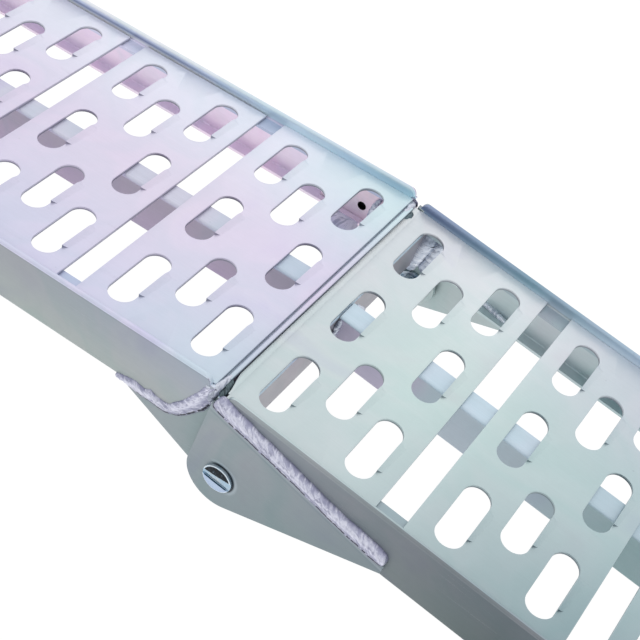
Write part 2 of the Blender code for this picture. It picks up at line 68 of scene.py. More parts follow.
def turn_y(angle):
    c, s = math.cos(angle), math.sin(angle)
    return np.array(((c, 0, s), (0, 1, 0), (-s, 0, c)))


# rotation, origin in metres, and the point of the half frame that lies on that origin
FRAMES = {
    "A": (turn_y(math.radians(-3.928411)), np.array((-0.050657, 0.0, 0.1026637)), np.zeros(3)),
    "B": (turn_y(math.radians(3.557587)), np.array((0.0018843, 0.0, 0.0452928)), PIVOT),
}
BODY = {"A": "half_a", "B": "half_b"}


def to_world(half, points):
    rotation, origin, centre = FRAMES[half]
    return ((np.asarray(points, float) - centre) * MM) @ rotation.T + origin


# ---------------------------------------------------------------- shader helpers
def srgb(text):
    """Linear colour from a hex colour."""
    values = [int(text[i:i + 2], 16) / 255 for i in (1, 3, 5)]
    linear = [v / 12.92 if v <= 0.04045 else ((v + 0.055) / 1.055) ** 2.4 for v in values]
    return (*linear, 1.0)


class Value:
    """A node output. Arithmetic on it adds nodes."""

    def __init__(self, nodes, socket):
        self.nodes = nodes
        self.socket = socket

    def __add__(self, other):
        return self.nodes.math("ADD", self, other)

    def __sub__(self, other):
        return self.nodes.math("SUBTRACT", self, other)

    def __mul__(self, other):
        return self.nodes.math("MULTIPLY", self, other)

    def smooth(self, low, high, to_low=0.0, to_high=1.0):
        limits = (self, low, high, to_low, to_high)
        return self.nodes.node("MapRange", limits, interpolation_type="SMOOTHSTEP")

    def linear(self, low, high, to_low=0.0, to_high=1.0):
        return self.nodes.node("MapRange", (self, low, high, to_low, to_high), clamp=True)

    def band(self, rise, full, fall, end):
        """1 between full and fall, falling to 0 at rise and end."""
        return self.smooth(rise, full) * self.smooth(fall, end, 1.0, 0.0)

    def mix(self, fac, other, blend="MIX"):
        return self.nodes.mix(fac, self, other, blend)

    def fade(self, low, high, first, second):
        """The first colour where this value is at low, the second where it is at high."""
        return self.nodes.mix(self.smooth(low, high), first, second)

    def times(self, value):
        """This colour brightened or darkened by a value."""
        return self.mix(1.0, self.nodes.node("CombineColor", (value,) * 3), "MULTIPLY")

    def ramp(self, stops, low=0.0, high=1.0, ease="LINEAR"):
        """A colour from (value, colour) stops lying between low and high."""
        value = self if (low, high) == (0.0, 1.0) else self.linear(low, high)
        made = self.nodes.tree.nodes.new("ShaderNodeValToRGB")
        elements = made.color_ramp.elements
        made.color_ramp.interpolation = ease
        elements.remove(elements[1])
        for i, (place, colour) in enumerate(stops):
            place = (place - low) / (high - low)
            stop = elements.new(place) if i else elements[0]
            stop.position = place
            stop.color = srgb(colour)
        self.nodes.put(made.inputs[0], value)
        return Value(self.nodes, made.outputs[0])


class Nodes:
    """A short way to write the nodes of a material or a world."""

    def __init__(self, owner):
        self.owner = owner
        owner.use_nodes = True
        self.tree = owner.node_tree
        self.tree.nodes.clear()

    def put(self, socket, value):
        if isinstance(value, Value):
            self.tree.links.new(value.socket, socket)
        elif value is not None:
            socket.default_value = srgb(value) if isinstance(value, str) else value

    def node(self, kind, inputs=(), out=0, **props):
        made = self.tree.nodes.new("ShaderNode" + kind)
        for key, value in props.items():
            setattr(made, key, value)
        pairs = inputs.items() if isinstance(inputs, dict) else enumerate(inputs)
        for key, value in pairs:
            self.put(made.inputs[key], value)
        return Value(self, made.outputs[out])

    def output(self, kind, value):
        end = self.tree.nodes.new("ShaderNodeOutput" + kind)
        self.put(end.inputs[0], value)

    def math(self, operation, first, second=None):
        return self.node("Math", (first, second), operation=operation)

    def mix(self, fac, first, second, blend="MIX"):
        inputs = {0: fac, 6: first, 7: second}
        return self.node("Mix", inputs, 2, data_type="RGBA", blend_type=blend)

    def split(self, vector):
        made = self.tree.nodes.new("ShaderNodeSeparateXYZ")
        self.put(made.inputs[0], vector)
        return [Value(self, socket) for socket in made.outputs]

    # position in the frame of the half, millimetres
    place = cached_property(lambda self: self.node("Attribute", out="Vector", attribute_name="hf"))
    axes = cached_property(lambda self: self.split(self.place))
    x = property(lambda self: self.axes[0])
    y = property(lambda self: self.axes[1])
    z = property(lambda self: self.axes[2])
    abs_y = cached_property(lambda self: self.math("ABSOLUTE", self.y))

    def from_axis(self, centre):
        """Offsets from a line across the half through (x, z), and the squared distance."""
        off_x, off_z = self.x - centre[0], self.z + -centre[1]
        return off_x, off_z, off_x * off_x + off_z * off_z

    def scaled(self, along, across, shift):
        """The position times one factor along the half and another in y and z."""
        inputs = (self.place, (along, across, across))
        made = self.node("VectorMath", inputs, operation="MULTIPLY")
        return self.node("VectorMath", (made, shift), operation="ADD")

    def vector(self, x, y, z):
        return self.node("CombineXYZ", (x, y, z))

    def noise(self, vector, detail=3.0, rough=0.5, distort=0.0):
        return self.node("TexNoise", {"Vector": vector, "Scale": 1.0, "Detail": detail,
                                      "Roughness": rough, "Distortion": distort})

    def voronoi(self, vector, out):
        return self.node("TexVoronoi", {"Vector": vector, "Scale": 1.0}, out, feature="F1")

    def attr(self, name):
        return self.node("Attribute", out="Fac", attribute_name=name)

    def finish(self, colour, rough, metal, height, distance, strength):
        bump = self.node("Bump", {"Strength": strength, "Distance": distance, "Height": height},
                         "Normal")
        self.output("Material", self.node("BsdfPrincipled", {
            "Base Color": colour, "Roughness": rough, "Metallic": metal, "Normal": bump}))
        return self.owner


def gradient(along, across, stations, low=-HALF_WIDTH, high=HALF_WIDTH):
    """A broad colour gradient: ramps across the part at stations, blended along it."""
    colour = before = None
    for place, stops in stations:
        ramp = across.ramp(stops, low, high, "EASE" if len(stops) < 4 else "LINEAR")
        colour = colour.mix(along.linear(before, place), ramp) if colour else ramp
        before = place
    return colour


# ---------------------------------------------------------------- colour fields
# Limits of smooth, band and fade are millimetres in the frame of the half.
# Stations are (x, stops); stops are (y or z, colour).
RAIL_SPAN = (-37, 7)        # z range of the ramps down a rail's outside
# black painted as shade in the small gusset hole and on the rail seen through it
PAINTED_SHADE_BLACK = "#0b0d12"


def upper_deck(mat):
    # painted light and shade: the deck is lighter toward the far side, as a painted highlight, and
    # darker along the near side
    return gradient(mat.x, mat.y, [
        (-300, [(-100, "#d5d5ea"), (0, "#dfd6ed"), (97, "#ecebf9")]),
        (-60, [(-100, "#d7d6ec"), (0, "#e4dbee"), (97, "#e9ecfa")]),
        (26, [(-100, "#cbd9e6"), (0, "#e1daf0"), (97, "#d8edf2")]),
    ])


def lower_deck(mat):
    # painted light and shade: very light at the hinge, painted there to make up for the shade
    # under the upper half's edge; lighter toward the far side; darkest along the near side about x
    # = 250
    return gradient(mat.x, mat.y, [
        (36, [(-100, "#e6f1f4"), (97, "#f7f9fc")]),
        (40, [(-100, "#cfdadd"), (97, "#e1e4ea")]),
        (110, [(-100, "#cdd9dc"), (0, "#d2e4e3"), (97, "#e9eef3")]),
        (250, [(-100, "#98aeb4"), (0, "#bccfd3"), (97, "#ced3df")]),
        (700, [(-100, "#bccad1"), (97, "#d7dee6")]),
    ])


def lip_mask(mat):
    """The inner side and the top of the folded lip."""
    return mat.z.smooth(-1.6, -0.4) * mat.abs_y.smooth(103.0, 103.6)


def flange_mask(mat):
    return mat.z.smooth(-5, -4) * mat.abs_y.smooth(104.5, 103.2)


def upper_rail(mat):
    outer = gradient(mat.x, mat.z, [
        (-100, [(-36, "#a8b1b0"), (4, "#a1a5ac")]),
        (26, [(-36, "#afb4b5"), (4, "#a3abb8")]),
    ], *RAIL_SPAN)
    inner = mat.z.fade(-40, -6, "#f6e4f4", "#fae9fd")
    # painted shade: black on the rail's inner face where it shows through the gusset's small hole
    inner = inner.mix(mat.from_axis(HOLE)[2].smooth(26.0, 18.0), PAINTED_SHADE_BLACK)
    colour = mat.abs_y.fade(106.6, 107.2, inner, outer)
    colour = colour.mix(flange_mask(mat), mat.x.fade(-230, -90, "#e0def5", "#c3cae4"))
    # painted shade and light on the lip's inner side: a darker middle band, partly the fold's
    # crease, between a lighter foot and crown
    lip = gradient(mat.x, mat.z, [
        (-150, [(0, "#fafafc"), (2.2, "#8793b4"), (4.4, "#dfe8fb"), (6, "#fafafc")]),
        (-60, [(0, "#dcf0fa"), (6, "#d8ebf8")]),
        (20, [(0, "#c6e6f0"), (3.0, "#b2d4e1"), (6, "#c9e2ea")]),
    ], -1, 7)
    # painted highlight along the lip's crown
    crown = mat.z.smooth(5.2, 6.0)
    lip = lip.mix(crown * 0.4, "#d3dfe8")
    colour = colour.mix(lip_mask(mat) * mat.abs_y.smooth(106.9, 105.9), lip)
    # painted reflection of the pale sky on the near lip, right over its crown, with a faint dark
    # line below it
    near = mat.y.smooth(-100, -102)
    line = near * mat.z.band(3.2, 3.6, 3.9, 4.3)
    colour = colour.mix(line * 0.25, "#6f7688")
    pale = mat.x.fade(-30, 20, "#dcdaf0", "#d6e0ee")
    inside = mat.z.smooth(-1.6, -0.4) * mat.abs_y.smooth(107.0, 106.4)
    return colour.mix(near * mat.math("MAXIMUM", mat.z.smooth(4.1, 4.5), inside), pale)


def lower_rail(mat):
    outer = gradient(mat.x, mat.z, [
        (80, [(-36, "#909a9e"), (6, "#90949c")]),
        (225, [(-36, "#5b6668"), (6, "#5d686f")]),
        (620, [(-36, "#7f8a8e"), (6, "#899098")]),
    ], *RAIL_SPAN)
    inner = mat.x.fade(120, 290, mat.x.fade(108, 90, "#c6d2d5", "#f4fdfd"), "#adc0c4")
    colour = mat.abs_y.fade(106.6, 107.2, inner, outer)
    colour = colour.mix(flange_mask(mat), "#abbac2")
    # painted shade in the middle of the lip's inner side, lighter at its foot and crown
    lip = gradient(mat.x, mat.z, [
        (50, [(-1, "#a1b4cd"), (2.8, "#667698"), (6, "#96a3c4")]),
        (125, [(-1, "#c6dae7"), (3.4, "#88a9b9"), (6, "#8eabbe")]),
        (180, [(-1, "#dceaf6"), (6, "#b0c3d7")]),
    ], -2, 7)
    colour = colour.mix(lip_mask(mat) * mat.abs_y.smooth(107.0, 106.2), lip)
    # the near lip: painted light on its pale inner side, painted dark shade on it at the hinge
    # end, and painted shade on its greyer outer corner
    near = mat.y.smooth(-100, -102)
    pale = mat.x.fade(60, 260, mat.x.fade(41, 38, "#cfdadd", "#39464c"), "#9aaab2")
    inside = mat.z.smooth(-1.6, -0.4) * mat.abs_y.smooth(106.1, 105.8)
    colour = colour.mix(near * inside, pale)
    corner = near * (mat.z.smooth(4.0, 4.6) * mat.abs_y.smooth(105.8, 106.1))
    return colour.mix(corner, mat.x.fade(60, 200, "#a3a8ad", "#7f858b"))


def upper_frame(mat):
    # the sides are painted darker than the tops, as shade under the deck
    top = mat.x.fade(-60, 0, "#d2d2e3", "#c9d3e4")
    side = mat.z.fade(-36, -6, "#aea0b8", "#a79fb0")
    return mat.z.fade(-4.6, -3.4, side, top)


def lower_frame(mat):
    # the sides are painted darker than the tops, as shade under the deck
    side = mat.x.fade(100, 118, "#bbb1c7", "#b2bdc8")
    side = mat.x.fade(130, 280, side, "#8fa5a9")
    side = mat.x.fade(54, 50, side, "#a09ba3")
    top = mat.x.fade(150, 300, "#d2e1ef", "#bccdd8")
    return mat.z.fade(-4.6, -3.4, side, top)


def upper_gusset(mat):
    outer = mat.x.fade(-30, 20, "#a0a6ad", "#96a2a6")
    # painted light: the inner face is painted near white to make up for light it lacks under the
    # deck
    plain = mat.z.fade(-30, -6, "#fae6f0", "#f2dfec")
    inner = mat.x.fade(28, 42, plain, "#b9c6c6")
    # painted shade: black in the wall of the small hole and at its rim
    hole = mat.from_axis(HOLE)[2].smooth(10.2, 9.3)
    inner, outer = inner.mix(hole, PAINTED_SHADE_BLACK), outer.mix(hole, PAINTED_SHADE_BLACK)
    return mat.abs_y.fade(104.6, 105.0, inner, outer)


def lower_gusset(mat):
    face = gradient(mat.x, mat.z, [
        (38, [(-76, "#8d9aa0"), (-10, "#9ba3a9")]),
        (150, [(-60, "#7c8c90"), (-10, "#828d95")]),
    ], -78, -8)
    # a dark and a pale line just below the weld, whose toe slopes down along x
    below = mat.z + ((mat.x - 36.6) * 0.1745 + 4.6)
    face = face.mix(below.band(-4.2, -2.8, -2.2, -1.4) * 0.30, "#6f8088")
    face = face.mix(below.band(-2.4, -1.6, -0.8, 0.2) * 0.35, "#aab4bd")
    face = face.mix(mat.abs_y.smooth(108.5, 108.1), "#b9c6c7")
    # a painted pale highlight arc and a painted shadow round the upper right of the screw head
    off_x, off_z, square = mat.from_axis(HEAD)
    radius = mat.math("SQRT", square)
    side = (off_x * 0.75 + off_z * 0.65).smooth(-2.0, 4.0)
    face = face.mix(side * radius.band(10.8, 11.2, 11.6, 13.4) * 0.28, "#cdd9e4")
    return face.mix(side * radius.smooth(10.9, 10.2) * 0.94, "#16232e")


# ---------------------------------------------------------------- materials
# Noise scales are cycles per millimetre: first along the half, then across it.
def plating(name, field, rough, metal, film, grain, wave, seed):
    """Satin zinc plate under a thin passivation film. Film, grain and wave are strengths."""
    mat = Nodes(bpy.data.materials.new(name))
    colour = field(mat)
    # oil-film tints, tens of millimetres across
    cloud = mat.noise(mat.scaled(0.011, 0.013, (seed, 0, 0)), distort=1.2)
    tint = cloud.ramp([(0.30, "#f1edfb"), (0.42, "#ffffff"), (0.52, "#eefaf8"),
                       (0.64, "#ffffff"), (0.78, "#fdf0f6")], ease="EASE")
    colour = colour.mix(film, tint, "MULTIPLY")
    # soft blotches where the bath dried
    blotch = mat.noise(mat.scaled(0.045, 0.05, (seed, 3.0, 0)), 5.0, rough=0.62, distort=0.4)
    colour = colour.times(blotch.linear(0.25, 0.75, 1.0 - 0.055 * film, 1.0 + 0.045 * film))
    # rolling grain runs along the sheet
    streak = mat.noise(mat.scaled(0.012, 1.1, (seed, 0, 5.0)), 4.0, rough=0.6)
    colour = colour.times(streak.linear(0.25, 0.75, 1.0 - 0.06 * grain, 1.0 + 0.05 * grain))
    # faint crystal spangle
    spangle = mat.voronoi(mat.scaled(0.22, 0.22, (seed, 0, 0)), "Color")
    spangle = mat.node("SeparateColor", (spangle,))
    colour = colour.times(spangle.linear(0.0, 1.0, 1.0 - 0.018 * film, 1.0 + 0.018 * film))
    # thin handling scratches, mostly along the half
    lines = mat.noise(mat.scaled(0.006, 0.42, (seed, 7.0, 0)), 8.0, rough=0.75, distort=0.15)
    scratch = lines.band(0.612, 0.622, 0.626, 0.636) * cloud.smooth(0.42, 0.58)
    colour = colour.mix(scratch * (0.28 * grain), "#eef1f6")
    # small splash dots
    dots = mat.voronoi(mat.scaled(0.055, 0.055, (seed, 1.0, 0)), "Distance")
    speck = dots.smooth(0.03, 0.05, 1.0, 0.0) * blotch.smooth(0.48, 0.55)
    colour = colour.mix(speck * 0.2, "#8d96a4")
    # painted shade on cut edges and slot walls, set by the wall attribute
    colour = colour.mix(mat.attr("wall") * 0.9, "#434b5c")
    # rubbed corners
    edge = mat.attr("edge") * blotch.smooth(0.38, 0.6)
    colour = colour.mix(edge * 0.45, "#e9edf4")
    # rubbed and scratched metal is shinier
    gloss = blotch.linear(0.3, 0.7, rough - 0.05, rough + 0.07)
    gloss = gloss - (edge + scratch * 0.5) * 0.08
    # relief: fine tooth, rolling grain, slow waviness, scratches cut in
    fine = mat.noise(mat.scaled(0.9, 0.9, (seed, 0, 0)))
    slow = mat.noise(mat.scaled(0.02, 0.028, (seed, 9.0, 0)), 1.0)
    height = fine * 0.02 + (streak * (0.04 * grain) + slow * wave)
    height = height - scratch * 0.05
    return mat.finish(colour, gloss, metal, height, distance=0.0009, strength=0.6)


def weld_material(name, ridge, base, low, specks, seed):
    """Plated weld metal: a painted highlight along the upper third, painted shade toward the toes,
    slanted flow marks, and black dashes and bright painted glints along the lower toe. "toe" runs
    from -1 to 1."""
    mat = Nodes(bpy.data.materials.new(name))
    along, across = mat.attr("run"), mat.attr("toe")
    flow = mat.noise(mat.scaled(0.3, 0.3, (seed, 0, 0)), 4.0, rough=0.6, distort=0.8)
    fine = mat.noise(mat.scaled(1.1, 1.1, (seed, 2.0, 0)), 5.0, rough=0.7)
    slant = along + across * 7.5
    stroke = mat.vector(slant * 0.26, across * 1.5, seed)
    stroke = mat.noise(stroke, 4.0, rough=0.62, distort=1.1)
    colour = across.ramp([(-1.0, low), (-0.5, low), (0.0, base), (0.34, ridge), (0.5, ridge),
                          (0.74, base), (1.0, low)], -1.0, 1.0)
    colour = colour.mix(flow.smooth(0.35, 0.68) * 0.45, base)
    # slanted strokes painted as highlights and shade
    colour = colour.mix(stroke.smooth(0.50, 0.62) * 0.75, ridge)
    colour = colour.mix(stroke.smooth(0.50, 0.38) * 0.7, low)
    # painted highlights on ripple crests, painted shade in the troughs
    crest = mat.attr("crest")
    colour = colour.mix(crest.smooth(0.6, 1.0) * 0.5, "#e7e9f6")
    colour = colour.mix(crest.smooth(0.35, 0.0) * 0.4, "#80829e")
    # black dashes and bright painted glints along the lower toe
    dash = mat.noise(mat.vector(along * 0.42, across * 0.5, seed + 3.0), 1.5)
    beads = mat.noise(mat.vector(along * 1.5, across * 3.0, seed + 6.0), 2.0)
    toe = across.band(-0.96, -0.9, -0.74, -0.64)
    bright = across.band(-0.98, -0.9, -0.62, -0.5) * beads.smooth(0.54, 0.62)
    colour = colour.mix(bright * (0.75 * specks), "#eef1fb")
    colour = colour.mix(toe * dash.smooth(0.41, 0.47) * specks, "#1a1f30")
    # painted shade toward a dark colour, by an attribute that is zero on every weld here
    colour = colour.mix(mat.attr("shade_darkening") * 0.9, "#2c3344")
    rough = fine.linear(0.3, 0.7, 0.28, 0.45)
    height = flow * 0.35 + (fine * 0.08 + stroke * 0.8)
    return mat.finish(colour, rough, 0.6, height, distance=0.0006, strength=0.5)


def head_reflections(mat, colour, off_x, off_z, radius):
    """Painted reflections on the screw head: a dark broken reflection above the slot, a pale one
    below it, a thin line of painted shade along the slot's lower edge and a painted highlight on
    the rim.
    """
    front = mat.abs_y.smooth(112.2, 112.4)
    crumb = mat.noise(mat.scaled(0.9, 0.9, (3.0, 0, 0)), rough=0.6)
    # painted pale reflection below the slot
    colour = colour.mix(front * off_z.smooth(-2.6, -3.2), "#b4c6e0")
    above = ((off_z - off_x * 0.17) + (crumb - 0.5) * 1.5).smooth(2.3, 2.8)
    lens = above * (radius + crumb * 0.8).smooth(9.2, 8.8)
    shade = crumb.fade(0.42, 0.6, "#04080e", "#14222e")
    shade = shade.mix(crumb.smooth(0.62, 0.7) * 0.4, "#8fa3b2")
    colour = colour.mix(front * lens, shade)
    line = off_z.band(-3.5, -3.15, -2.85, -2.55)
    colour = colour.mix(front * line * radius.smooth(8.4, 7.9), "#1d4257")
    # painted highlight on the rim
    rim = radius.band(8.85, 9.0, 9.25, 9.45)
    return colour.mix(front * (rim * 0.85), "#eaf4fb")


def fastener_material(name, base, dark, seed, rough, head):
    """Bright zinc on turned steel, with fine turning rings."""
    mat = Nodes(bpy.data.materials.new(name))
    off_x, off_z, square = mat.from_axis(HEAD if head else AXIS)
    radius = mat.math("SQRT", square)
    rings = mat.noise(mat.vector(radius * 4.0, 0.0, mat.y * 3.0))
    film = mat.noise(mat.scaled(0.16, 0.16, (seed, 0, 0)), distort=0.6)
    colour = film.fade(0.35, 0.65, base, "#c4cfd8")
    if head:
        colour = head_reflections(mat, colour, off_x, off_z, radius)
    colour = colour.times(rings.linear(0.3, 0.7, 0.92, 1.05))
    # painted shade where the hardware sits in shadow, by an attribute that is zero on every part
    # here
    colour = colour.mix(mat.attr("shade_darkening") * 1.0, dark)
    colour = colour.mix(mat.attr("edge") * 0.6, "#eef5fa")
    gloss = film.linear(0.3, 0.7, rough - 0.05, rough + 0.1)
    return mat.finish(colour, gloss, 0.75, rings, distance=0.00015, strength=0.35)


DECK_LOOK = dict(rough=0.44, metal=0.45, grain=0.3, wave=0.2)
PART_LOOK = dict(rough=0.42, metal=0.5, wave=0.3)
MATS = {
    "deck_a": plating("zinc_deck_upper", upper_deck, film=0.3, seed=1.0, **DECK_LOOK),
    "deck_b": plating("zinc_deck_lower", lower_deck, film=0.35, seed=4.0, **DECK_LOOK),
}
# key, name, colour field, film, grain, seed
for key, name, field, film, grain, seed in (
    ("rail_a", "zinc_rail_upper", upper_rail, 0.5, 0.45, 7.0),
    ("rail_b", "zinc_rail_lower", lower_rail, 0.5, 0.45, 11.0),
    ("frame_a", "zinc_frame_upper", upper_frame, 0.5, 0.6, 13.0),
    ("frame_b", "zinc_frame_lower", lower_frame, 0.5, 0.6, 17.0),
    ("gusset_a", "zinc_gusset_upper", upper_gusset, 0.6, 0.5, 19.0),
    ("gusset_b", "zinc_gusset_lower", lower_gusset, 0.6, 0.5, 23.0),
):
    MATS[key] = plating(name, field, film=film, grain=grain, seed=seed, **PART_LOOK)
# key, name, ridge, base and low colours, strength of the toe specks, seed
for key, *look in (
    ("weld", "zinc_weld_metal", "#e2e3f2", "#bbbdd2", "#9394b0", 1.0, 0.0),
    ("weld_bright", "zinc_weld_silver", "#d9deea", "#b4bac9", "#7d8496", 0.0, 31.0),
    # weld_pale: weld metal painted lighter, standing in for light under the decks
    ("weld_pale", "zinc_weld_pale", "#f3f7ff", "#d3dbe8", "#9aa5b6", 0.0, 43.0),
    # weld_dark: a copy of the weld metal painted dark as shade
    ("weld_dark", "zinc_weld_shade", "#6f8288", "#3c4b53", "#18222b", 0.0, 37.0),
):
    MATS[key] = weld_material(*look)
MATS["bolt"] = fastener_material("zinc_bolt", base="#a9c3d6", dark="#0c1a2b", seed=2.0,
                                 rough=0.25, head=True)
MATS["hardware"] = fastener_material("zinc_hardware", base="#9fb4c4", dark="#1a2634", seed=5.0,
                                     rough=0.26, head=False)


# ---------------------------------------------------------------- geometry helpers
# A shape is (points, faces), in millimetres in the frame of its half.
def face_outward(mesh):
    bm = bmesh.new()
    bm.from_mesh(mesh)
    bmesh.ops.recalc_face_normals(bm, faces=bm.faces)
    bm.to_mesh(mesh)
    bm.free()


def add_object(name, mesh):
    obj = bpy.data.objects.new(name, mesh)
    bpy.context.scene.collection.objects.link(obj)
    return obj


def piece(name, half, shape, material, node, attrs=None, angle=33.0, weighted=True,
          turn=True):
    """One shown object. Faces meeting at more than the angle, in degrees, get a sharp edge."""
    points = np.asarray(shape[0], float)
    mesh = bpy.data.meshes.new(name)
    faces = [tuple(int(i) for i in face) for face in shape[1]]
    mesh.from_pydata(to_world(half, points).tolist(), [], faces)
    mesh.update()
    if turn:
        face_outward(mesh)
    place = mesh.attributes.new("hf", "FLOAT_VECTOR", "POINT")
    place.data.foreach_set("vector", points.astype(np.float32).ravel())
    for key, values in (attrs or {}).items():
        made = mesh.attributes.new(key, "FLOAT", "POINT")
        made.data.foreach_set("value", np.asarray(values, np.float32).ravel())
    mesh.materials.append(MATS[material])
    mesh.polygons.foreach_set("use_smooth", np.ones(len(mesh.polygons), bool))
    mesh.set_sharp_from_angle(angle=math.radians(angle))
    obj = add_object(name, mesh)
    if weighted:
        obj.modifiers.new("normals", "WEIGHTED_NORMAL").keep_sharp = True
    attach(obj, BODY[half])
    if node:
        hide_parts(node)


def arc(centre_x, centre_y, radius, start, end, steps):
    angles = [math.radians(start + (end - start) * i / steps) for i in range(steps + 1)]
    return [(centre_x + radius * math.cos(a), centre_y + radius * math.sin(a)) for a in angles]


def circle(centre, radius, steps=48):
    angles = [2 * math.pi * i / steps for i in range(steps)]
    return [(centre[0] + radius * math.cos(a), centre[1] + radius * math.sin(a)) for a in angles]


def hull(points):
    """Convex outline round a set of points."""
    ordered = sorted({(round(x, 6), round(y, 6)) for x, y in points})

    def chain(sequence):
        out = []
        for x, y in sequence:
            while len(out) > 1:
                (x0, y0), (x1, y1) = out[-2:]
                if (x1 - x0) * (y - y0) - (y1 - y0) * (x - x0) > 1e-9:
                    break
                out.pop()
            out.append((x, y))
        return out[:-1]

    return chain(ordered) + chain(reversed(ordered))


def fillet(points, radii, steps=5):
    """An outline with rounded corners; a radius of 0 leaves a corner as it is."""
    out = []
    for i, (point, radius) in enumerate(zip(points, radii)):
        corner = np.array(point, float)
        if radius <= 0:
            out.append(tuple(corner))
            continue
        back = np.array(points[i - 1], float) - corner
        ahead = np.array(points[(i + 1) % len(points)], float) - corner
        back_length, ahead_length = np.linalg.norm(back), np.linalg.norm(ahead)
        back, ahead = back / back_length, ahead / ahead_length
        half_angle = math.acos(max(-1, min(1, back @ ahead))) / 2
        reach = min(radius / math.tan(half_angle), 0.49 * back_length, 0.49 * ahead_length)
        radius = reach * math.tan(half_angle)
        middle = (back + ahead) / np.linalg.norm(back + ahead)
        centre = corner + middle * radius / math.sin(half_angle)
        first, last = corner + back * reach - centre, corner + ahead * reach - centre
        start = math.atan2(first[1], first[0])
        sweep = (math.atan2(last[1], last[0]) - start + math.pi) % (2 * math.pi) - math.pi
        for k in range(steps + 1):
            angle = start + sweep * k / steps
            out.append((centre[0] + radius * math.cos(angle),
                        centre[1] + radius * math.sin(angle)))
    return out


def area(loop):
    return 0.5 * sum(a[0] * b[1] - b[0] * a[1] for a, b in zip(loop, loop[1:] + loop[:1]))


def plate(loops, low, high, bevel=0.3, res=2, axis="y"):
    """A flat outline with holes, given thickness along an axis, with rounded rims.
    The outline is (x, z) for a thickness along y, and (y, z) for one along x."""
    data = bpy.data.curves.new("outline", "CURVE")
    data.dimensions = "2D"
    data.fill_mode = "BOTH"
    data.extrude = max((high - low) / 2 - bevel, 0.0) * MM
    data.bevel_depth = bevel * MM
    data.bevel_resolution = res
    data.offset = -bevel * MM
    for i, loop in enumerate(loops):
        loop = list(loop)
        if (area(loop) > 0) != (i == 0):
            loop.reverse()
        spline = data.splines.new("POLY")
        spline.points.add(len(loop) - 1)
        for point, (x, y) in zip(spline.points, loop):
            point.co = (x * MM, y * MM, 0, 1)
        spline.use_cyclic_u = True
    obj = add_object("outline", data)
    bpy.context.view_layer.update()
    graph = bpy.context.evaluated_depsgraph_get()
    mesh = bpy.data.meshes.new_from_object(obj.evaluated_get(graph))
    bpy.data.objects.remove(obj, do_unlink=True)
    bpy.data.curves.remove(data)
    bm = bmesh.new()
    bm.from_mesh(mesh)
    bmesh.ops.remove_doubles(bm, verts=bm.verts, dist=1e-6)
    bmesh.ops.recalc_face_normals(bm, faces=bm.faces)
    bm.verts.ensure_lookup_table()
    points = np.array([v.co[:] for v in bm.verts]) * 1000.0
    faces = [[v.index for v in f.verts] for f in bm.faces]
    bm.free()
    bpy.data.meshes.remove(mesh)
    points = points[:, [2, 0, 1] if axis == "x" else [0, 2, 1]]
    points[:, "xy".index(axis)] += (low + high) / 2
    return points, faces


def prism(loop, low, high):
    """A sharp-edged cutter: an (x, z) outline between two places in y."""
    return plate([loop], low, high, 0.0001, 0)


def block(x, y, z):
    return prism([(x[0], z[0]), (x[1], z[0]), (x[1], z[1]), (x[0], z[1])], *y)


def cut(shape, tools, operation="DIFFERENCE"):
    """Exact Booleans, one tool after another."""
    objects = []
    for points, faces in [shape] + tools:
        mesh = bpy.data.meshes.new("temp")
        mesh.from_pydata((np.asarray(points) * MM).tolist(), [], [tuple(f) for f in faces])
        face_outward(mesh)
        objects.append(add_object("temp", mesh))
    host = objects[0]
    for tool in objects[1:]:
        change = host.modifiers.new("change", "BOOLEAN")
        change.operation = operation
        change.solver = "EXACT"
        change.object = tool
    bpy.context.view_layer.update()
    graph = bpy.context.evaluated_depsgraph_get()
    mesh = bpy.data.meshes.new_from_object(host.evaluated_get(graph))
    for obj in objects:
        bpy.data.objects.remove(obj, do_unlink=True)
    points = np.array([v.co[:] for v in mesh.vertices]) * 1000.0
    faces = [list(f.vertices) for f in mesh.polygons]
    bpy.data.meshes.remove(mesh)
    return points, faces


def on_side(side, low, high):
    """Limits in y for a part of the far side, mirrored for the near side."""
    return (low, high) if side > 0 else (-high, -low)


def smoothstep(x, low, high):
    t = min(max((x - low) / (high - low), 0.0), 1.0)
    return t * t * (3 - 2 * t)


def swept_faces(count, size, closed=False):
    """Faces joining rings of points, capped at both ends or closed on themselves."""
    faces = []
    for i in range(count if closed else count - 1):
        here, after = i * size, (i + 1) % count * size
        for k in range(size):
            j = (k + 1) % size
            faces.append((here + k, here + j, after + j, after + k))
    if not closed:
        faces += [list(range(size)), list(range((count - 1) * size, count * size))]
    return faces


# ---------------------------------------------------------------- deck panels
PANEL_LENGTH, PANEL_HALF, PANEL_THICK = 98.4, 103.6, 2.0
SLOT_RADIUS, SLOT_STRAIGHT = 8.3, 15.0      # end radius, half length of the straight part
SLOT_STRETCH = 0.55                         # extra slot width on the +x side
RIM = 0.5
COLLAR = 4.8                                # width of the rings of faces round a slot
COLUMNS = ((20.5, (-70.0, 0.0, 70.0)), (49.2, (-46.4, 46.4)), (77.9, (-70.0, 0.0, 70.0)))
X_LINES = (RIM, 34.85, 63.55, PANEL_LENGTH - RIM)   # borders between the slot columns
X_STEPS = (10, 8, 10)
Y_STEPS = 60
Y_EDGE = PANEL_HALF - RIM
# distance out from the slot, z
TOP_RINGS = ((0.0, -0.26), (0.07, -0.08), (0.26, 0.0), (1.3, 0.0), (3.0, 0.0), (COLLAR, 0.0))
UNDER_RINGS = ((0.0, -PANEL_THICK), (COLLAR, -PANEL_THICK))
# z, shade
SLOT_WALL = ((-0.26, 0.22), (-0.95, 0.3), (-1.15, 0.72), (-PANEL_THICK, 0.8))
# distance out from the border, z, shade, rub
RIM_RINGS = ((0.36, -0.13, 0.0, 0.5), (RIM, -0.5, 0.3, 0.3), (RIM, -PANEL_THICK, 0.75, 0.0))
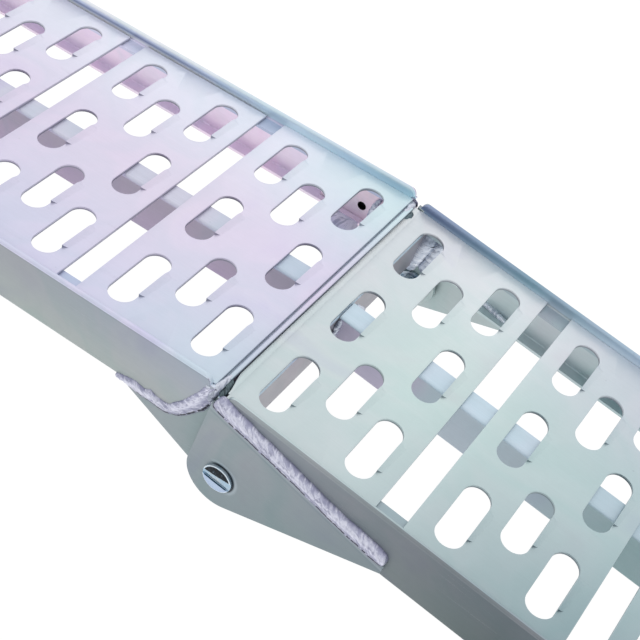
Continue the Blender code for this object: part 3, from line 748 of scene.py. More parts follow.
# share of the way down a tongue's slot side, shade
TONGUE_WALL = ((0.0, 0.15), (0.55, 0.25), (0.6, 0.6), (1.0, 0.75))
TONGUE_ROWS, TONGUE_STEPS = 26, 6
TONGUE_TAIL = 0.84                          # share of the length where the tail turns in


class PanelMesh:
    """Points, faces and shading of a panel; shared points are welded by their place."""

    def __init__(self):
        self.points, self.faces, self.wall, self.edge = [], [], [], []
        self.index = {}

    def vertex(self, x, y, z, wall=0.0, edge=0.0, shared=True):
        key = (round(x, 4), round(y, 4), round(z, 4))
        if shared and key in self.index:
            return self.index[key]
        self.points.append((x, y, z))
        self.wall.append(wall)
        self.edge.append(edge)
        if shared:
            self.index[key] = len(self.points) - 1
        return len(self.points) - 1

    def join(self, lines, closed=True):
        for a, b in zip(lines, lines[1:]):
            for i in range(len(a) if closed else len(a) - 1):
                j = (i + 1) % len(a)
                self.faces.append((a[i], a[j], b[j], b[i]))


def around(first, last, low, high):
    """Border points of a run of columns between two grid rows."""
    spans = [(X_LINES[c], X_LINES[c + 1], X_STEPS[c]) for c in range(first, last + 1)]
    y_at = lambda k: -Y_EDGE + 2 * Y_EDGE * k / Y_STEPS
    out = [(x0 + (x1 - x0) * i / n, y_at(low)) for x0, x1, n in spans for i in range(n)]
    out += [(X_LINES[last + 1], y_at(k)) for k in range(low, high)]
    out += [(x1 - (x1 - x0) * i / n, y_at(high)) for x0, x1, n in spans[::-1] for i in range(n)]
    return out + [(X_LINES[first], y_at(k)) for k in range(high, low, -1)]


def slot_cell(mesh, slot_x, slot_y, outer):
    """One slot with its wall, and the sheet round it out to the cell border."""
    directions = []
    for x, y in outer:
        foot = min(max(y, slot_y - SLOT_STRAIGHT), slot_y + SLOT_STRAIGHT)
        away = math.hypot(x - slot_x, y - foot)
        directions.append((foot, (x - slot_x) / away, (y - foot) / away))

    def ring(off, z, wall, edge, shared):
        out = []
        for foot, to_x, to_y in directions:
            stretch = SLOT_STRETCH * max(to_x, 0.0) * (1.0 - off / COLLAR)
            out.append(mesh.vertex(slot_x + to_x * (SLOT_RADIUS + off) + stretch,
                                   foot + to_y * (SLOT_RADIUS + off), z, wall, edge, shared))
        return out

    rings = [ring(off, z, 0.22 if z < -0.2 else 0.0, 0.25 if z < 0 else 0.0, True)
             for off, z in TOP_RINGS]
    mesh.join(rings + [[mesh.vertex(x, y, 0.0) for x, y in outer]])
    rings = [ring(off, z, 0.0, 0.0, off > 0) for off, z in UNDER_RINGS]
    mesh.join(rings + [[mesh.vertex(x, y, -PANEL_THICK) for x, y in outer]])
    mesh.join([ring(0.0, z, shade, 0.0, False) for z, shade in SLOT_WALL])


def panel_rim(mesh):
    border = around(0, 2, 0, Y_STEPS)

    def push(value, low, high, out):
        return value + (out if value > high - 1e-6 else -out if value < low + 1e-6 else 0.0)

    rings = [[mesh.vertex(x, y, 0.0) for x, y in border]]
    for out, z, wall, edge in RIM_RINGS:
        rings.append([mesh.vertex(push(x, X_LINES[0], X_LINES[-1], out),
                                  push(y, -Y_EDGE, Y_EDGE, out), z, wall, edge)
                      for x, y in border])
    rings.append([mesh.vertex(x, y, -PANEL_THICK) for x, y in border])
    mesh.join(rings)


def grip_tongue(mesh, slot_x, slot_y):
    """A lanced and lifted tongue on the +x side of a slot: square cut at the near end,
    drawn out to nothing at the far end."""
    grid = []
    for i in range(TONGUE_ROWS + 1):
        s = i / TONGUE_ROWS
        y_in = -12.3 + 28.0 * s
        over = max(0.0, y_in - SLOT_STRAIGHT)
        x_in = math.sqrt(max(SLOT_RADIUS ** 2 - over ** 2, 0.0)) + SLOT_STRETCH + 0.12 * (1 - s)
        t = min(s / TONGUE_TAIL, 1.0)
        x_out, y_out = 11.8 + 1.6 * t, -10.1 + 22.6 * t
        if s > TONGUE_TAIL:
            q = (s - TONGUE_TAIL) / (1 - TONGUE_TAIL)
            x_out, y_out = (1 - q) * 13.4 + q * (x_in + 0.4), (1 - q) * 12.5 + q * y_in
        lift = 2.0 * (1.0 - 0.42 * s) * (1.0 - smoothstep(s, 0.80, 1.0))
        line = []
        for k in range(TONGUE_STEPS + 1):
            t = k / TONGUE_STEPS
            line.append(mesh.vertex(
                slot_x + x_in + (x_out - x_in) * t, slot_y + y_in + (y_out - y_in) * t,
                lift * (1.0 - t) ** 1.2 + 0.02, 0.0, 0.3 if k == 0 else 0.0, False))
        grid.append(line)
    mesh.join(grid, closed=False)
    # the side toward the slot
    tops = [mesh.points[line[0]] for line in grid]
    bottom = -PANEL_THICK + 0.1
    mesh.join([[mesh.vertex(x, y, z + (bottom - z) * share, shade, 0.0, False)
                for x, y, z in tops] for share, shade in TONGUE_WALL], closed=False)
    # the open near end, in shade
    end = [mesh.points[v] for v in grid[0]]
    upper = [mesh.vertex(x, y, z, 0.62, 0.0, False) for x, y, z in end]
    lower = [mesh.vertex(x, y - 0.03, -0.05, 0.72, 0.0, False) for x, y, z in end]
    mesh.join([upper, lower], closed=False)


def panel_mesh():
    """A perforated tread panel with a rounded rim and a grip tongue beside each slot."""
    mesh = PanelMesh()
    for c, (slot_x, row) in enumerate(COLUMNS):
        borders = [round(Y_STEPS * i / len(row)) for i in range(len(row) + 1)]
        for r, slot_y in enumerate(row):
            slot_cell(mesh, slot_x, slot_y, around(c, c, borders[r], borders[r + 1]))
    panel_rim(mesh)
    for slot_x, row in COLUMNS:
        for slot_y in row:
            grip_tongue(mesh, slot_x, slot_y)
    return mesh


PANEL = panel_mesh()
NEAR_GAP = -0.3             # how far a panel's near edge is drawn in; below 0 it is let out
SHOULDER = 100.0            # |y| beyond which the edge strips are drawn in or out
FIRST_STRIP, FIRST_STRIP_CUT = 6.0, 4.25    # hinge edge of panel b1, before and after trimming


def tread_panel(half, number, start, far_gap, seed):
    points = np.array(PANEL.points)
    margin = PANEL_HALF - SHOULDER
    y = points[:, 1].copy()
    far = SHOULDER + (y - SHOULDER) * (margin - far_gap) / margin
    near = -SHOULDER + (y + SHOULDER) * (margin - NEAR_GAP) / margin
    y = np.where(y > SHOULDER, far, np.where(y < -SHOULDER, near, y))
    points[:, 1] = y
    # sheet that has been punched and welded isn't dead flat
    x = points[:, 0]
    bow, ripple, phase = np.random.default_rng(seed).uniform(-0.06, 0.06, 3)
    points[:, 2] += bow * np.sin(x / PANEL_LENGTH * math.pi)
    points[:, 2] += ripple * np.sin(y / 55.0 + phase * 20)
    tag = "%s%d" % (half.lower(), number)
    if tag == "b1":
        trimmed = FIRST_STRIP - (FIRST_STRIP - x) * FIRST_STRIP_CUT / FIRST_STRIP
        points[:, 0] = np.where(x < FIRST_STRIP, trimmed, x)
    points[:, 0] += start
    piece("tread_panel_" + tag, half, (points, PANEL.faces), "deck_" + half.lower(),
          "deck_panel_" + tag, {"wall": PANEL.wall, "edge": PANEL.edge},
          angle=42.0, weighted=False, turn=False)


# how far each panel's far edge is drawn in, from the hinge outward
for i, far_gap in enumerate((-0.36, 0.55, 0.45, 0.3, 0.4, 0.5, 0.2, 0.5, 0.4)):
    tread_panel("A", i + 1, -(-31.5 + PANEL_LENGTH + i * 112.1), far_gap, 40 + i)
for i, far_gap in enumerate((-0.36, -0.3, -0.3, 0.4, 0.1, 0.5, 0.3, 0.2, 0.4)):
    tread_panel("B", i + 1, 37.7 + i * 116.0, far_gap, 60 + i)


# ---------------------------------------------------------------- side rails
LIP_TOP = 6.0
LIP_RADIUS = 1.75           # the lip is folded double, so it is twice this wide
BEND_OUT, BEND_IN, BEND_LIP = 2.6, 0.8, 0.9
FOOT_EDGE, FLANGE_EDGE = 97.5, 93.5
WEB_INNER = HALF_WIDTH - SHEET
CUT_CLEAR = WEB_INNER - 0.01    # cutters stop just short of the web


def rail_profile(side):
    """(y, z) section: a foot turned in, the web, a folded lip above the tread, a flange."""
    foot_top = RAIL_BOTTOM + SHEET
    bend_y = WEB_INNER - BEND_IN
    points = [(FOOT_EDGE, RAIL_BOTTOM)]
    points += arc(HALF_WIDTH - BEND_OUT, RAIL_BOTTOM + BEND_OUT, BEND_OUT, 270, 360, 7)
    points += [(HALF_WIDTH, -2.0)]
    points += arc(HALF_WIDTH - LIP_RADIUS, LIP_TOP - LIP_RADIUS, LIP_RADIUS, 0, 180, 12)
    points += arc(HALF_WIDTH - 2 * LIP_RADIUS - BEND_LIP, FLANGE_TOP + BEND_LIP, BEND_LIP,
                  0, -90, 3)
    points += [(FLANGE_EDGE, FLANGE_TOP), (FLANGE_EDGE, FLANGE_UNDER)]
    points += arc(bend_y, FLANGE_UNDER - BEND_IN, BEND_IN, 90, 0, 3)
    points += arc(bend_y, foot_top + BEND_IN, BEND_IN, 0, -90, 3)
    points += [(FOOT_EDGE, foot_top)]
    return [(side * y, z) for y, z in points]


def side_channel(half, side, label):
    """A rail whose lip, foot and flange are cut back beside the hinge."""
    upper, near = half == "A", side < 0
    start, end = (END_A, HINGE_X - 0.3) if upper else (HINGE_X + 0.9, END_B)
    hinge, away = (end, -1) if upper else (start, 1)
    span = lambda a, b: sorted((hinge + away * a, hinge + away * b))
    lip_back = 11.0 if near else 9.5 if upper else 7.8
    lip_cut = [(hinge - away * 2, 8.0), (hinge - away * 2, 0.0)]
    lip_cut += [(hinge + away * (lip_back - x), z) for x, z in arc(0, 0, LIP_TOP, 0, 90, 12)]
    lip_cut += [(hinge + away * lip_back, 8.0)]
    foot_back, foot_inner = (65.3, 101.9) if upper else (66.0, 93.5)
    flange_outer = CUT_CLEAR if near or upper else 108.0
    tools = [
        prism(lip_cut, *on_side(side, 83.5, 111.5)),
        block(span(-2, foot_back), on_side(side, foot_inner, CUT_CLEAR),
              (RAIL_BOTTOM - 3, RAIL_BOTTOM + 6)),
        block(span(-2, 5), on_side(side, 89.5, flange_outer), (-7.3, 1.0)),
    ]
    if upper:
        # the end of the upper rail is cut on the slant
        low = RAIL_BOTTOM - 2.73
        slant = [(4.0, low), (52.0, low), (52.0, 12.0), (38.5, 8.0)]
        tools.append(prism(slant, *on_side(side, 91.5, 111.5)))
    body = plate([rail_profile(side)], start, end, 0.22, 1, axis="x")
    tag = half.lower() + "_" + label
    piece("side_channel_" + tag, half, cut(body, tools), "rail_" + half.lower(),
          "side_rail_" + tag)


for side, label in SIDES:
    for half in "AB":
        side_channel(half, side, label)


# ---------------------------------------------------------------- centre ribs and crossbars
def frame_piece(name, half, shape, node):
    piece(name, half, shape, "frame_" + half.lower(), node)


def rib(start, end):
    """A channel along the half, open toward the far side."""
    low, top, inner = -35.0, FLANGE_TOP, RIB_NEAR + SHEET
    loop = [(RIB_FAR, low), (RIB_FAR, low + SHEET), (inner, low + SHEET), (inner, top - SHEET),
            (RIB_FAR, top - SHEET), (RIB_FAR, top), (RIB_NEAR, top), (RIB_NEAR, low)]
    rounded = fillet(loop, (0.3, 0.3, 0.8, 0.8, 0.3, 0.3, 2.2, 2.2))
    return plate([rounded], start, end, 0.2, 1, axis="x")


frame_piece("centre_channel_a", "A", rib(END_A + 2.3, CROSS_A - BAR_GAP), "centre_rib_a")
frame_piece("centre_channel_b", "B", rib(CROSS_B + BAR_GAP, END_B - 2.3), "centre_rib_b")


def angle_bar(web, toward, reach, half_length, bottom, lip=0.0, notch=False):
    """A folded crossbar: a web, a top flange that reaches toward +x or -x and, if asked,
    a short lip turned down from the flange or a notch for the centre rib."""
    top = FLANGE_TOP
    at = lambda distance: web + toward * distance
    loop = [(web, bottom), (at(SHEET), bottom), (at(SHEET), top - SHEET)]
    radii = [0.3, 0.3, 0.8]
    if lip:
        loop += [(at(reach - SHEET), top - SHEET), (at(reach - SHEET), top - lip),
                 (at(reach), top - lip), (at(reach), top), (web, top)]
        radii += [0.6, 0.3, 0.3, 0.45, 2.4]
    else:
        loop += [(at(reach), top - SHEET), (at(reach), top), (web, top)]
        radii += [0.3, 0.3, 2.4]
    body = plate([fillet(loop, radii)], -half_length, half_length, 0.2, 1)
    ends = [on_side(k, 93.2, half_length + 3) for k in (-1, 1)]
    whole = sorted((at(-3), at(reach + 3)))
    tools = [block(whole, end, (top - SHEET - 0.3, 2.0)) for end in ends]
    if lip:
        flange = sorted((at(SHEET + 1.0), at(reach + 3)))
        tools += [block(flange, end, (top - lip - 3, 2.0)) for end in ends]
    if notch:
        tools.append(block(sorted((at(SHEET + 0.15), at(reach + 3))),
                           (RIB_NEAR - BAR_GAP, RIB_FAR + BAR_GAP), (top - SHEET - 2, 2.0)))
    return cut(body, tools)


frame_piece("hinge_crossbar_a", "A", angle_bar(CROSS_A, 1, 13.9, 101.5, RAIL_BOTTOM, lip=9.0),
            "hinge_cross_member_a")
frame_piece("hinge_crossbar_b", "B", angle_bar(CROSS_B, -1, 14.8, 101.5, RAIL_BOTTOM, lip=9.0),
            "hinge_cross_member_b")


def hem(name, half, sections, attrs=None):
    """A strip along the hinge, from its sections across the half."""
    points = [point for section in sections for point in section]
    faces = swept_faces(len(sections), len(sections[0]))
    piece(name, half, (points, faces), "deck_" + half.lower(), None,
          attrs, angle=40.0)


def lower_hem():
    """Stands on the lower half's hinge bar, nearly flush with the tread; its near corner
    is cut away."""
    near_end = [-100.6, -99.0, -96.5, -93.0, -89.0, -85.5, -84.0]
    sections = []
    for y in np.concatenate([near_end, np.linspace(-80, 103.2, 40)]):
        lead = 35.72 - 0.40 * (y + 103) / 206 + 3.1 * smoothstep(-y, 83.5, 100.6)
        tail = 41.6
        dip = 0.05 * math.sin(y / 31.0)
        sections.append([
            (lead - 0.1, y, -2.1), (lead - 0.35, y, -1.8), (lead - 0.35, y, -0.42),
            (lead - 0.27, y, -0.24), (lead - 0.12, y, -0.16 + dip), (39.75, y, -0.18 + dip),
            (40.0, y, -0.6), (tail, y, -0.9), (tail, y, -2.1)])
    hem("hinge_hem_b", "B", sections)


def upper_hem():
    """Stands beside the upper half's first panel and overhangs the bar a little."""
    sections = []
    for y in np.linspace(-94.5, 97.5, 44):
        edge = 35.25 + 0.45 * (y + 80) / 160
        dip = 0.04 * math.sin(y / 27.0)
        sections.append([
            (32.0, y, -2.2), (32.15, y, -1.85), (32.8, y, -1.45 + dip), (33.6, y, -1.3 + dip),
            (edge - 0.6, y, -1.42 + dip), (edge - 0.18, y, -1.6 + dip), (edge, y, -1.9),
            (edge, y, -2.9), (33.0, y, -2.9)])
    # painted shade on the strip: darkest on its front face and underside
    shade = [0.5, 0.25, 0.0, 0.0, 0.0, 0.1, 0.9, 1.0, 1.0]      # one value per section point
    hem("hinge_hem_a", "A", sections, {"wall": shade * len(sections)})


lower_hem()
upper_hem()
frame_piece("end_crossbar_a", "A", angle_bar(END_A, 1, 16.0, 105.2, -34.2, notch=True),
            "end_cross_member_a")
frame_piece("end_crossbar_b", "B", angle_bar(END_B, -1, 16.0, 105.2, -34.2, notch=True),
            "end_cross_member_b")


# ---------------------------------------------------------------- hook plate and ground plate
def bent_plate(path, radii, thickness, bevel):
    """A bent strip about its (x, z) centre line, nearly as wide as the deck."""
    line = np.array(fillet(path, radii, 8), float)
    along = np.gradient(line, axis=0)
    along /= np.linalg.norm(along, axis=1)[:, None]
    offset = np.stack([-along[:, 1], along[:, 0]], 1) * thickness / 2
    outline = [tuple(v) for v in line + offset] + [tuple(v) for v in (line - offset)[::-1]]
    return plate([outline], -98.0, 98.0, bevel)


HOOK_THICK, FOOT_THICK = 4.0, 3.0
x = END_A - 0.3 - HOOK_THICK / 2
hook = [(x, -30.0), (x, -2.0), (END_A - 27.5, -2.0), (END_A - 37.0, -15.2)]
frame_piece("hook_lip_a", "A", bent_plate(hook, (0, 6.0, 9.0, 0), HOOK_THICK, 0.5),
            "hook_plate_a")
x = END_B + 0.3 + FOOT_THICK / 2
foot = [(x, -24.0), (x, -2.5), (END_B + 11.0, -2.9), (END_B + 38.8, RAIL_BOTTOM + 4.6)]
frame_piece("ground_lip_b", "B", bent_plate(foot, (0, 3.5, 8.0, 0), FOOT_THICK, 0.4),
            "ground_plate_b")


# ---------------------------------------------------------------- hinge gussets
pivot_a = turn_y(FOLD) @ PIVOT      # hinge axis in the frame of half A
AXIS_A = (pivot_a[0], pivot_a[2])
GUSSET_INNER = 102.2                # inner face of the upper gusset
outline_b = hull([(35.5, -2.5), (157.5, -23.2), (157.5, -30.2)] + circle(AXIS, 21.5, 96))
outline_a = hull([(-30.0, -38.4), (-30.0, -31.0), (-4.0, -5.0), (HINGE_X - 0.6, -5.0)]
                 + circle(AXIS_A, 16.0, 72))
# half, loops, limits in y
GUSSETS = (
    ("B", [outline_b, circle(AXIS, BORE)], (107.8, 110.8)),
    ("A", [outline_a, circle(AXIS_A, BORE), circle(HOLE, 3.0, 32)],
     (GUSSET_INNER, GUSSET_INNER + 3.0)),
)
for side, label in SIDES:
    for half, loops, limits in GUSSETS:
        tag = half.lower() + "_" + label
        piece("gusset_" + tag, half, plate(loops, *on_side(side, *limits)),
              "gusset_" + half.lower(), "hinge_gusset_" + tag)


# ---------------------------------------------------------------- weld metal
def weld_piece(name, half, shape, material, node, run, toe, crest):
    attrs = {"run": run, "toe": toe, "crest": crest, "shade_darkening": np.zeros(len(shape[0]))}
    piece(name, half, shape, material, node, attrs, angle=180.0, weighted=False)


def travelled(line):
    """Distance along a line at each of its points."""
    steps = np.linalg.norm(np.diff(line, axis=0), axis=1)
    return np.concatenate([[0], np.cumsum(steps)])


def resampled(columns, distance, count):
    """Columns of values at evenly spaced distances."""
    places = np.linspace(0, distance[-1], count)
    return np.stack([np.interp(places, distance, column) for column in columns.T], 1)


RUN_COLUMNS, RUN_STEP = 22, 0.45


def run_faces(count, back):
    """The front of a weld run, then its back strip and ends; back is the first back point."""
    cols = RUN_COLUMNS
    size = cols + 1
    faces = []
    for i in range(count - 1):
        for k in range(cols):
            a = i * size + k
            faces.append((a, a + 1, a + size + 1, a + size))
    for i in range(count - 1):
        low, low_next = i * size, (i + 1) * size
        rear, rear_next = back + 2 * i, back + 2 * (i + 1)
        faces.append((low, low_next, rear_next, rear))
        faces.append((low + cols, rear + 1, rear_next + 1, low_next + cols))
        faces.append((rear, rear_next, rear_next + 1, rear + 1))
    faces.append([back, back + 1] + [cols - k for k in range(size)])
    last, rear = (count - 1) * size, back + 2 * (count - 1)
    faces.append([rear + 1, rear] + [last + k for k in range(size)])
    return faces


def weld_run(name, half, upper, lower, y_upper, y_lower, bulge, side, node, pitch, ripple, lumpy,
             seed, taper=0.0):
    """A weld between its upper and lower toe, given as (x, z) lines: a dome that stands off
    the sheets, with scale ripples and lumps. Taper is the share of bulge lost at the end."""
    upper, lower = np.array(upper, float), np.array(lower, float)
    length = travelled((upper + lower) / 2)[-1]
    count = max(12, int(length / RUN_STEP))
    upper = resampled(upper, travelled(upper), count)
    lower = resampled(lower, travelled(lower), count)
    places = np.linspace(0, length, count)
    from_end = np.clip(np.minimum(places / 2.0, (length - places) / 3.5), 0, 1)
    round_end = np.sqrt(np.clip(1 - (1 - from_end) ** 2, 0, 1))
    phases = np.random.default_rng(seed).uniform(0, 6.28, 6)
    sin = math.sin
    points, run, toe, crest = [], [], [], []
    for s, end, up, low in zip(places, round_end, upper, lower):
        middle = (up + low) / 2
        uneven = 1 + 0.035 * sin(s * 0.4 + phases[0]) + 0.02 * sin(s * 1.7 + phases[1])
        reach = (up - low) / 2 * (0.25 + 0.75 * end) * uneven
        fade = 1.0 - taper * smoothstep(s / length, 0.6, 0.9)
        for k in range(RUN_COLUMNS + 1):
            t = -1 + 2 * k / RUN_COLUMNS
            base = (1 - t) / 2 * y_lower + (1 + t) / 2 * y_upper
            # the dome is highest above the middle of the run
            skew = (t - 0.22) / (0.78 if t > 0.22 else 1.22)
            if abs(t) >= 1:
                dome = 0.0
            elif skew > 0:
                dome = (1 - skew * skew) ** 0.75
            else:
                dome = (1 - abs(skew) ** 1.25) ** 1.35
            phase = (s + 7.5 * t + 3.6 * sin(s * 0.21 + phases[2])
                     + 1.3 * sin(s * 0.83 + phases[1] + 1.5 * t)) / pitch
            saw = phase - math.floor(phase)
            wave = (saw ** 1.7) * 2 - 0.8
            lumps = (sin(s * 0.9 + phases[3] + 1.3 * t)
                     + 0.6 * sin(s * 2.1 + phases[4] - 2.0 * t)
                     + 0.35 * sin(s * 4.3 + 5 * t + phases[5]))
            off = base + dome * (bulge * fade * (0.35 + 0.65 * end) + ripple * wave
                                 + lumpy * lumps)
            x, z = middle + reach * t
            points.append((x, side * off, z))
            run.append(s)
            toe.append(t)
            height = min(1.0, max(0.0, 0.5 + 0.38 * wave + 0.12 * lumps * lumpy / 0.2))
            crest.append(height * min(1.0, 1.6 * dome))
    # a second line behind each toe closes the back, so that the run is a solid strip
    back = len(points)
    for i in range(count):
        for k in (0, RUN_COLUMNS):
            front = i * (RUN_COLUMNS + 1) + k
            x, y, z = points[front]
            points.append((x, y - side * 0.5, z))
            run.append(run[front])
            toe.append(toe[front])
            crest.append(0.0)
    weld_piece(name, half, (points, run_faces(count, back)), "weld", node, run, toe, crest)


# upper and lower toes of the near weld runs: x, z
UPPER_TOE_B = [
    (38.6, 5.2), (43.5, 4.1), (51.1, 2.2), (58.3, 1.0), (65.7, -1.0), (76.2, -2.7),
    (87.0, -4.8), (94.2, -6.2), (106.7, -8.9), (117.5, -11.2), (127.9, -12.7),
    (137.9, -13.6), (147.9, -14.6), (155.5, -17.0), (158.0, -19.6)]
LOWER_TOE_B = [
    (35.7, -4.0), (43.4, -6.3), (50.0, -7.9), (55.8, -8.4), (64.0, -9.8), (76.3, -11.8),
    (83.5, -13.1), (94.1, -14.7), (103.1, -16.4), (111.2, -18.1), (121.1, -20.2),
    (130.1, -21.7), (138.4, -22.8), (147.4, -24.2), (156.0, -24.9)]
UPPER_TOE_A = [
    (-29.0, -34.6), (-21.2, -32.5), (-15.3, -31.8), (-9.2, -32.9), (-5.1, -30.6),
    (-1.3, -32.8), (4.6, -33.0), (8.0, -32.3), (14.4, -24.4), (19.2, -17.9),
    (22.2, -12.3), (25.8, -6.6), (27.0, -3.6), (28.4, -1.0)]
LOWER_TOE_A = [
    (-28.0, -38.6), (-21.0, -41.8), (-14.8, -42.7), (-8.6, -43.0), (-3.9, -43.4),
    (0.4, -43.7), (6.0, -43.4), (13.9, -39.8), (19.0, -34.4), (22.9, -30.3),
    (28.9, -22.6), (32.7, -15.0), (34.9, -7.0), (35.6, -1.5)]
for side, label in SIDES:
    # the far run of half B starts further from the hinge; that of half A has a lower top
    far = side > 0
    upper = [(43.0, -1.4)] + UPPER_TOE_B[2:] if far else UPPER_TOE_B
    weld_run("weld_run_b_" + label, "B", upper, LOWER_TOE_B[1:] if far else LOWER_TOE_B,
             y_upper=107.7, y_lower=110.95, bulge=3.1, side=side, node="weld_bead_b_" + label,
             pitch=5.2, ripple=0.05, lumpy=0.13, seed=5 + side)
    upper = [(x, z - (0.4 if far else 0.0)) for x, z in UPPER_TOE_A]
    weld_run("weld_run_a_" + label, "A", upper, LOWER_TOE_A,
             y_upper=107.6, y_lower=105.7, bulge=2.3, side=side, node="weld_bead_a_" + label,
             pitch=5.6, ripple=0.04, lumpy=0.26, seed=9 + side, taper=0.55)


def weld_lump(name, half, material, seed, rough, squash, stations, side=1):
    """Spatter or corner fill: a lumpy tube with round ends. Squash scales it along x, y, z."""
    table = np.array(stations, float) * (1, side, 1, 1)
    distance = travelled(table[:, :3])
    length = distance[-1]
    count = max(10, int(length / 0.55) + 8)
    steps = 26
    table = resampled(table, distance, count)
    line, radius = table[:, :3], table[:, 3]
    for _ in range(3):
        line[1:-1] = (line[:-2] + 2 * line[1:-1] + line[2:]) / 4
    tangent = np.gradient(line, axis=0)
    tangent /= np.linalg.norm(tangent, axis=1)[:, None]
    places = np.linspace(0, length, count)
    from_end = np.clip(np.minimum(places, length - places) / (0.9 * radius), 0, 1)
    cap = np.sqrt(np.clip(1 - (1 - from_end) ** 2, 0.0004, 1))
    phases = np.random.default_rng(seed).uniform(0, 6.28, 9)
    sin = math.sin
    points, run, crest, toe = [], [], [], []
    for i, s in enumerate(places):
        across = np.cross(tangent[i], (0.0, 0.3, 1.0))
        across /= np.linalg.norm(across)
        over = np.cross(across, tangent[i])
        for k in range(steps):
            angle = 2 * math.pi * k / steps
            bump = rough * (sin(s * 1.1 + 2 * angle + phases[0])
                            + 0.7 * sin(s * 2.3 - 3 * angle + phases[1])
                            + 0.5 * sin(s * 4.1 + 4 * angle + phases[2])
                            + 0.3 * sin(7 * angle + s * 6.0 + phases[3]))
            around_line = across * math.cos(angle) + over * sin(angle)
            off = around_line * radius[i] * cap[i] * (1 + bump)
            points.append(line[i] + off * np.array(squash))
            run.append(s)
            crest.append(min(1.0, max(0.0, 0.5 + 1.6 * bump)))
            toe.append(0.12 + 0.42 * sin(angle + 0.9))
    shape = (np.array(points), swept_faces(count, steps))
    weld_piece(name, half, shape, material, None, run, toe, crest)


ROUND = (1, 1, 1)
# Lumps are: name, half, material, seed, roughness, squash, stations (x, |y|, z, radius).
# Weld metal that wraps the hinge end of the upper rail, and dark lumps in the corner gap, painted
# dark as shade.
CORNER_LUMPS = {
    "near": (
        ("corner_weld_a", "A", "weld_bright", 20, 0.035, (1, 1, 0.85), (
            (33.7, 90.5, -2.6, 1.2), (33.4, 95.5, -2.3, 1.8), (33.1, 100.5, -2.3, 2.2),
            (32.8, 104.8, -3.2, 2.4), (32.6, 106.9, -6.2, 2.2), (31.8, 107.4, -10.5, 1.7))),
        ("corner_spur_a", "A", "weld_bright", 24, 0.06, (1, 1, 0.7), (
            (27.4, 106.9, -1.8, 1.1), (29.6, 106.4, -1.4, 1.7), (32.0, 104.6, -1.8, 1.8),
            (31.9, 99.0, -1.9, 1.2))),
        ("corner_fold_a", "A", "weld_dark", 27, 0.05, (1, 1, 1.1), (
            (33.2, 90.0, -7.2, 2.8), (34.6, 97.0, -7.4, 3.4), (35.4, 104.0, -8.4, 3.2),
            (35.2, 106.6, -11.0, 2.4))),
    ),
    "far": (
        ("corner_weld_a", "A", "weld_bright", 21, 0.05, (1, 1, 0.8), (
            (33.6, 88.5, -2.6, 1.2), (33.3, 94.0, -2.5, 1.9), (32.9, 99.5, -2.7, 2.3),
            (32.2, 103.6, -3.4, 2.2), (31.6, 105.0, -7.0, 1.6))),
        ("corner_fold_a", "A", "weld_dark", 29, 0.06, ROUND, (
            (34.0, 88.5, -5.8, 2.0), (35.2, 93.5, -6.1, 2.9), (35.4, 98.5, -6.6, 2.5))),
    ),
}
# weld metal under the decks, where the webs meet; the side is added to the seed
SIDE_LUMPS = (
    # the weld_pale lumps are painted lighter, as light they lack under the decks
    ("gusset_seam_a", "A", "weld_pale", 40, 0.08, ROUND, (
        (12.4, 101.5, -11.6, 1.3), (9.6, 101.3, -17.5, 1.8), (7.9, 101.2, -26.0, 1.9),
        (7.4, 101.2, -34.0, 1.5))),
    ("flange_seam_a", "A", "weld_pale", 44, 0.03, (1, 1.75, 0.3), (
        (-20.0, 94.0, -35.6, 3.0), (-11.0, 91.5, -36.0, 4.6), (-2.0, 90.5, -36.0, 4.8),
        (5.0, 93.0, -35.6, 3.2))),
    ("bar_seam_b", "B", "weld_pale", 48, 0.03, (1, 0.8, 1), (
        (57.6, 99.6, -8.2, 4.4), (53.4, 99.2, -11.5, 5.6), (51.6, 99.2, -20.5, 6.0),
        (50.4, 99.4, -31.0, 5.4), (49.4, 99.8, -43.0, 4.0))),
    ("bar_spatter_b", "B", "weld_pale", 52, 0.04, (1, 0.7, 1), (
        (61.2, 101.6, -7.4, 4.0), (61.0, 101.4, -17.0, 4.8), (60.4, 101.6, -31.0, 4.6),
        (57.0, 101.8, -40.0, 3.6))),
    # a weld root painted dark as shade
    ("bar_root_b", "B", "weld_dark", 56, 0.06, (1, 0.6, 1), (
        (45.4, 101.8, -13.0, 3.2), (45.0, 101.8, -30.0, 3.8), (49.0, 102.0, -47.0, 3.0),
        (57.0, 102.2, -47.0, 2.4))),
    ("rail_seam_b", "B", "weld_pale", 60, 0.05, (1, 1, 0.9), (
        (98.5, 105.6, -31.5, 1.2), (103.0, 105.0, -33.2, 1.9), (110.0, 104.4, -33.8, 2.1),
        (117.0, 103.4, -33.9, 1.9), (121.0, 102.4, -34.0, 1.3))),
)
# where the centre ribs meet the hinge bars; here y keeps its sign
RIB_LUMPS = (
    ("rib_seam_a", "A", "weld_bright", 64, 0.09, ROUND, (
        (18.9, -8.0, -4.4, 1.2), (18.8, -7.5, -12.0, 1.6), (18.9, -7.4, -24.0, 1.3))),
    ("rib_seam_b", "B", "weld_bright", 66, 0.1, ROUND, (
        (52.4, -7.2, -4.4, 1.4), (52.0, -7.6, -10.0, 1.9), (52.4, -7.4, -18.0, 1.4))),
    ("rib_spatter_b", "B", "weld_bright", 68, 0.1, (1, 1, 0.7), (
        (52.2, 9.6, -4.4, 1.3), (56.0, 10.4, -4.2, 1.7), (58.2, 10.2, -4.6, 1.2))),
)
for side, label in SIDES:
    for name, *rest in CORNER_LUMPS[label]:
        weld_lump(name + "_" + label, *rest, side=side)
    for name, half, material, seed, *rest in SIDE_LUMPS:
        weld_lump(name + "_" + label, half, material, seed + side, *rest, side=side)
for entry in RIB_LUMPS:
    weld_lump(*entry)


# ---------------------------------------------------------------- pivot fasteners
SEAT = 111.1                # |y| of the screw head's seat
HEAD_RADIUS, HEAD_HEIGHT = 9.4, 1.9


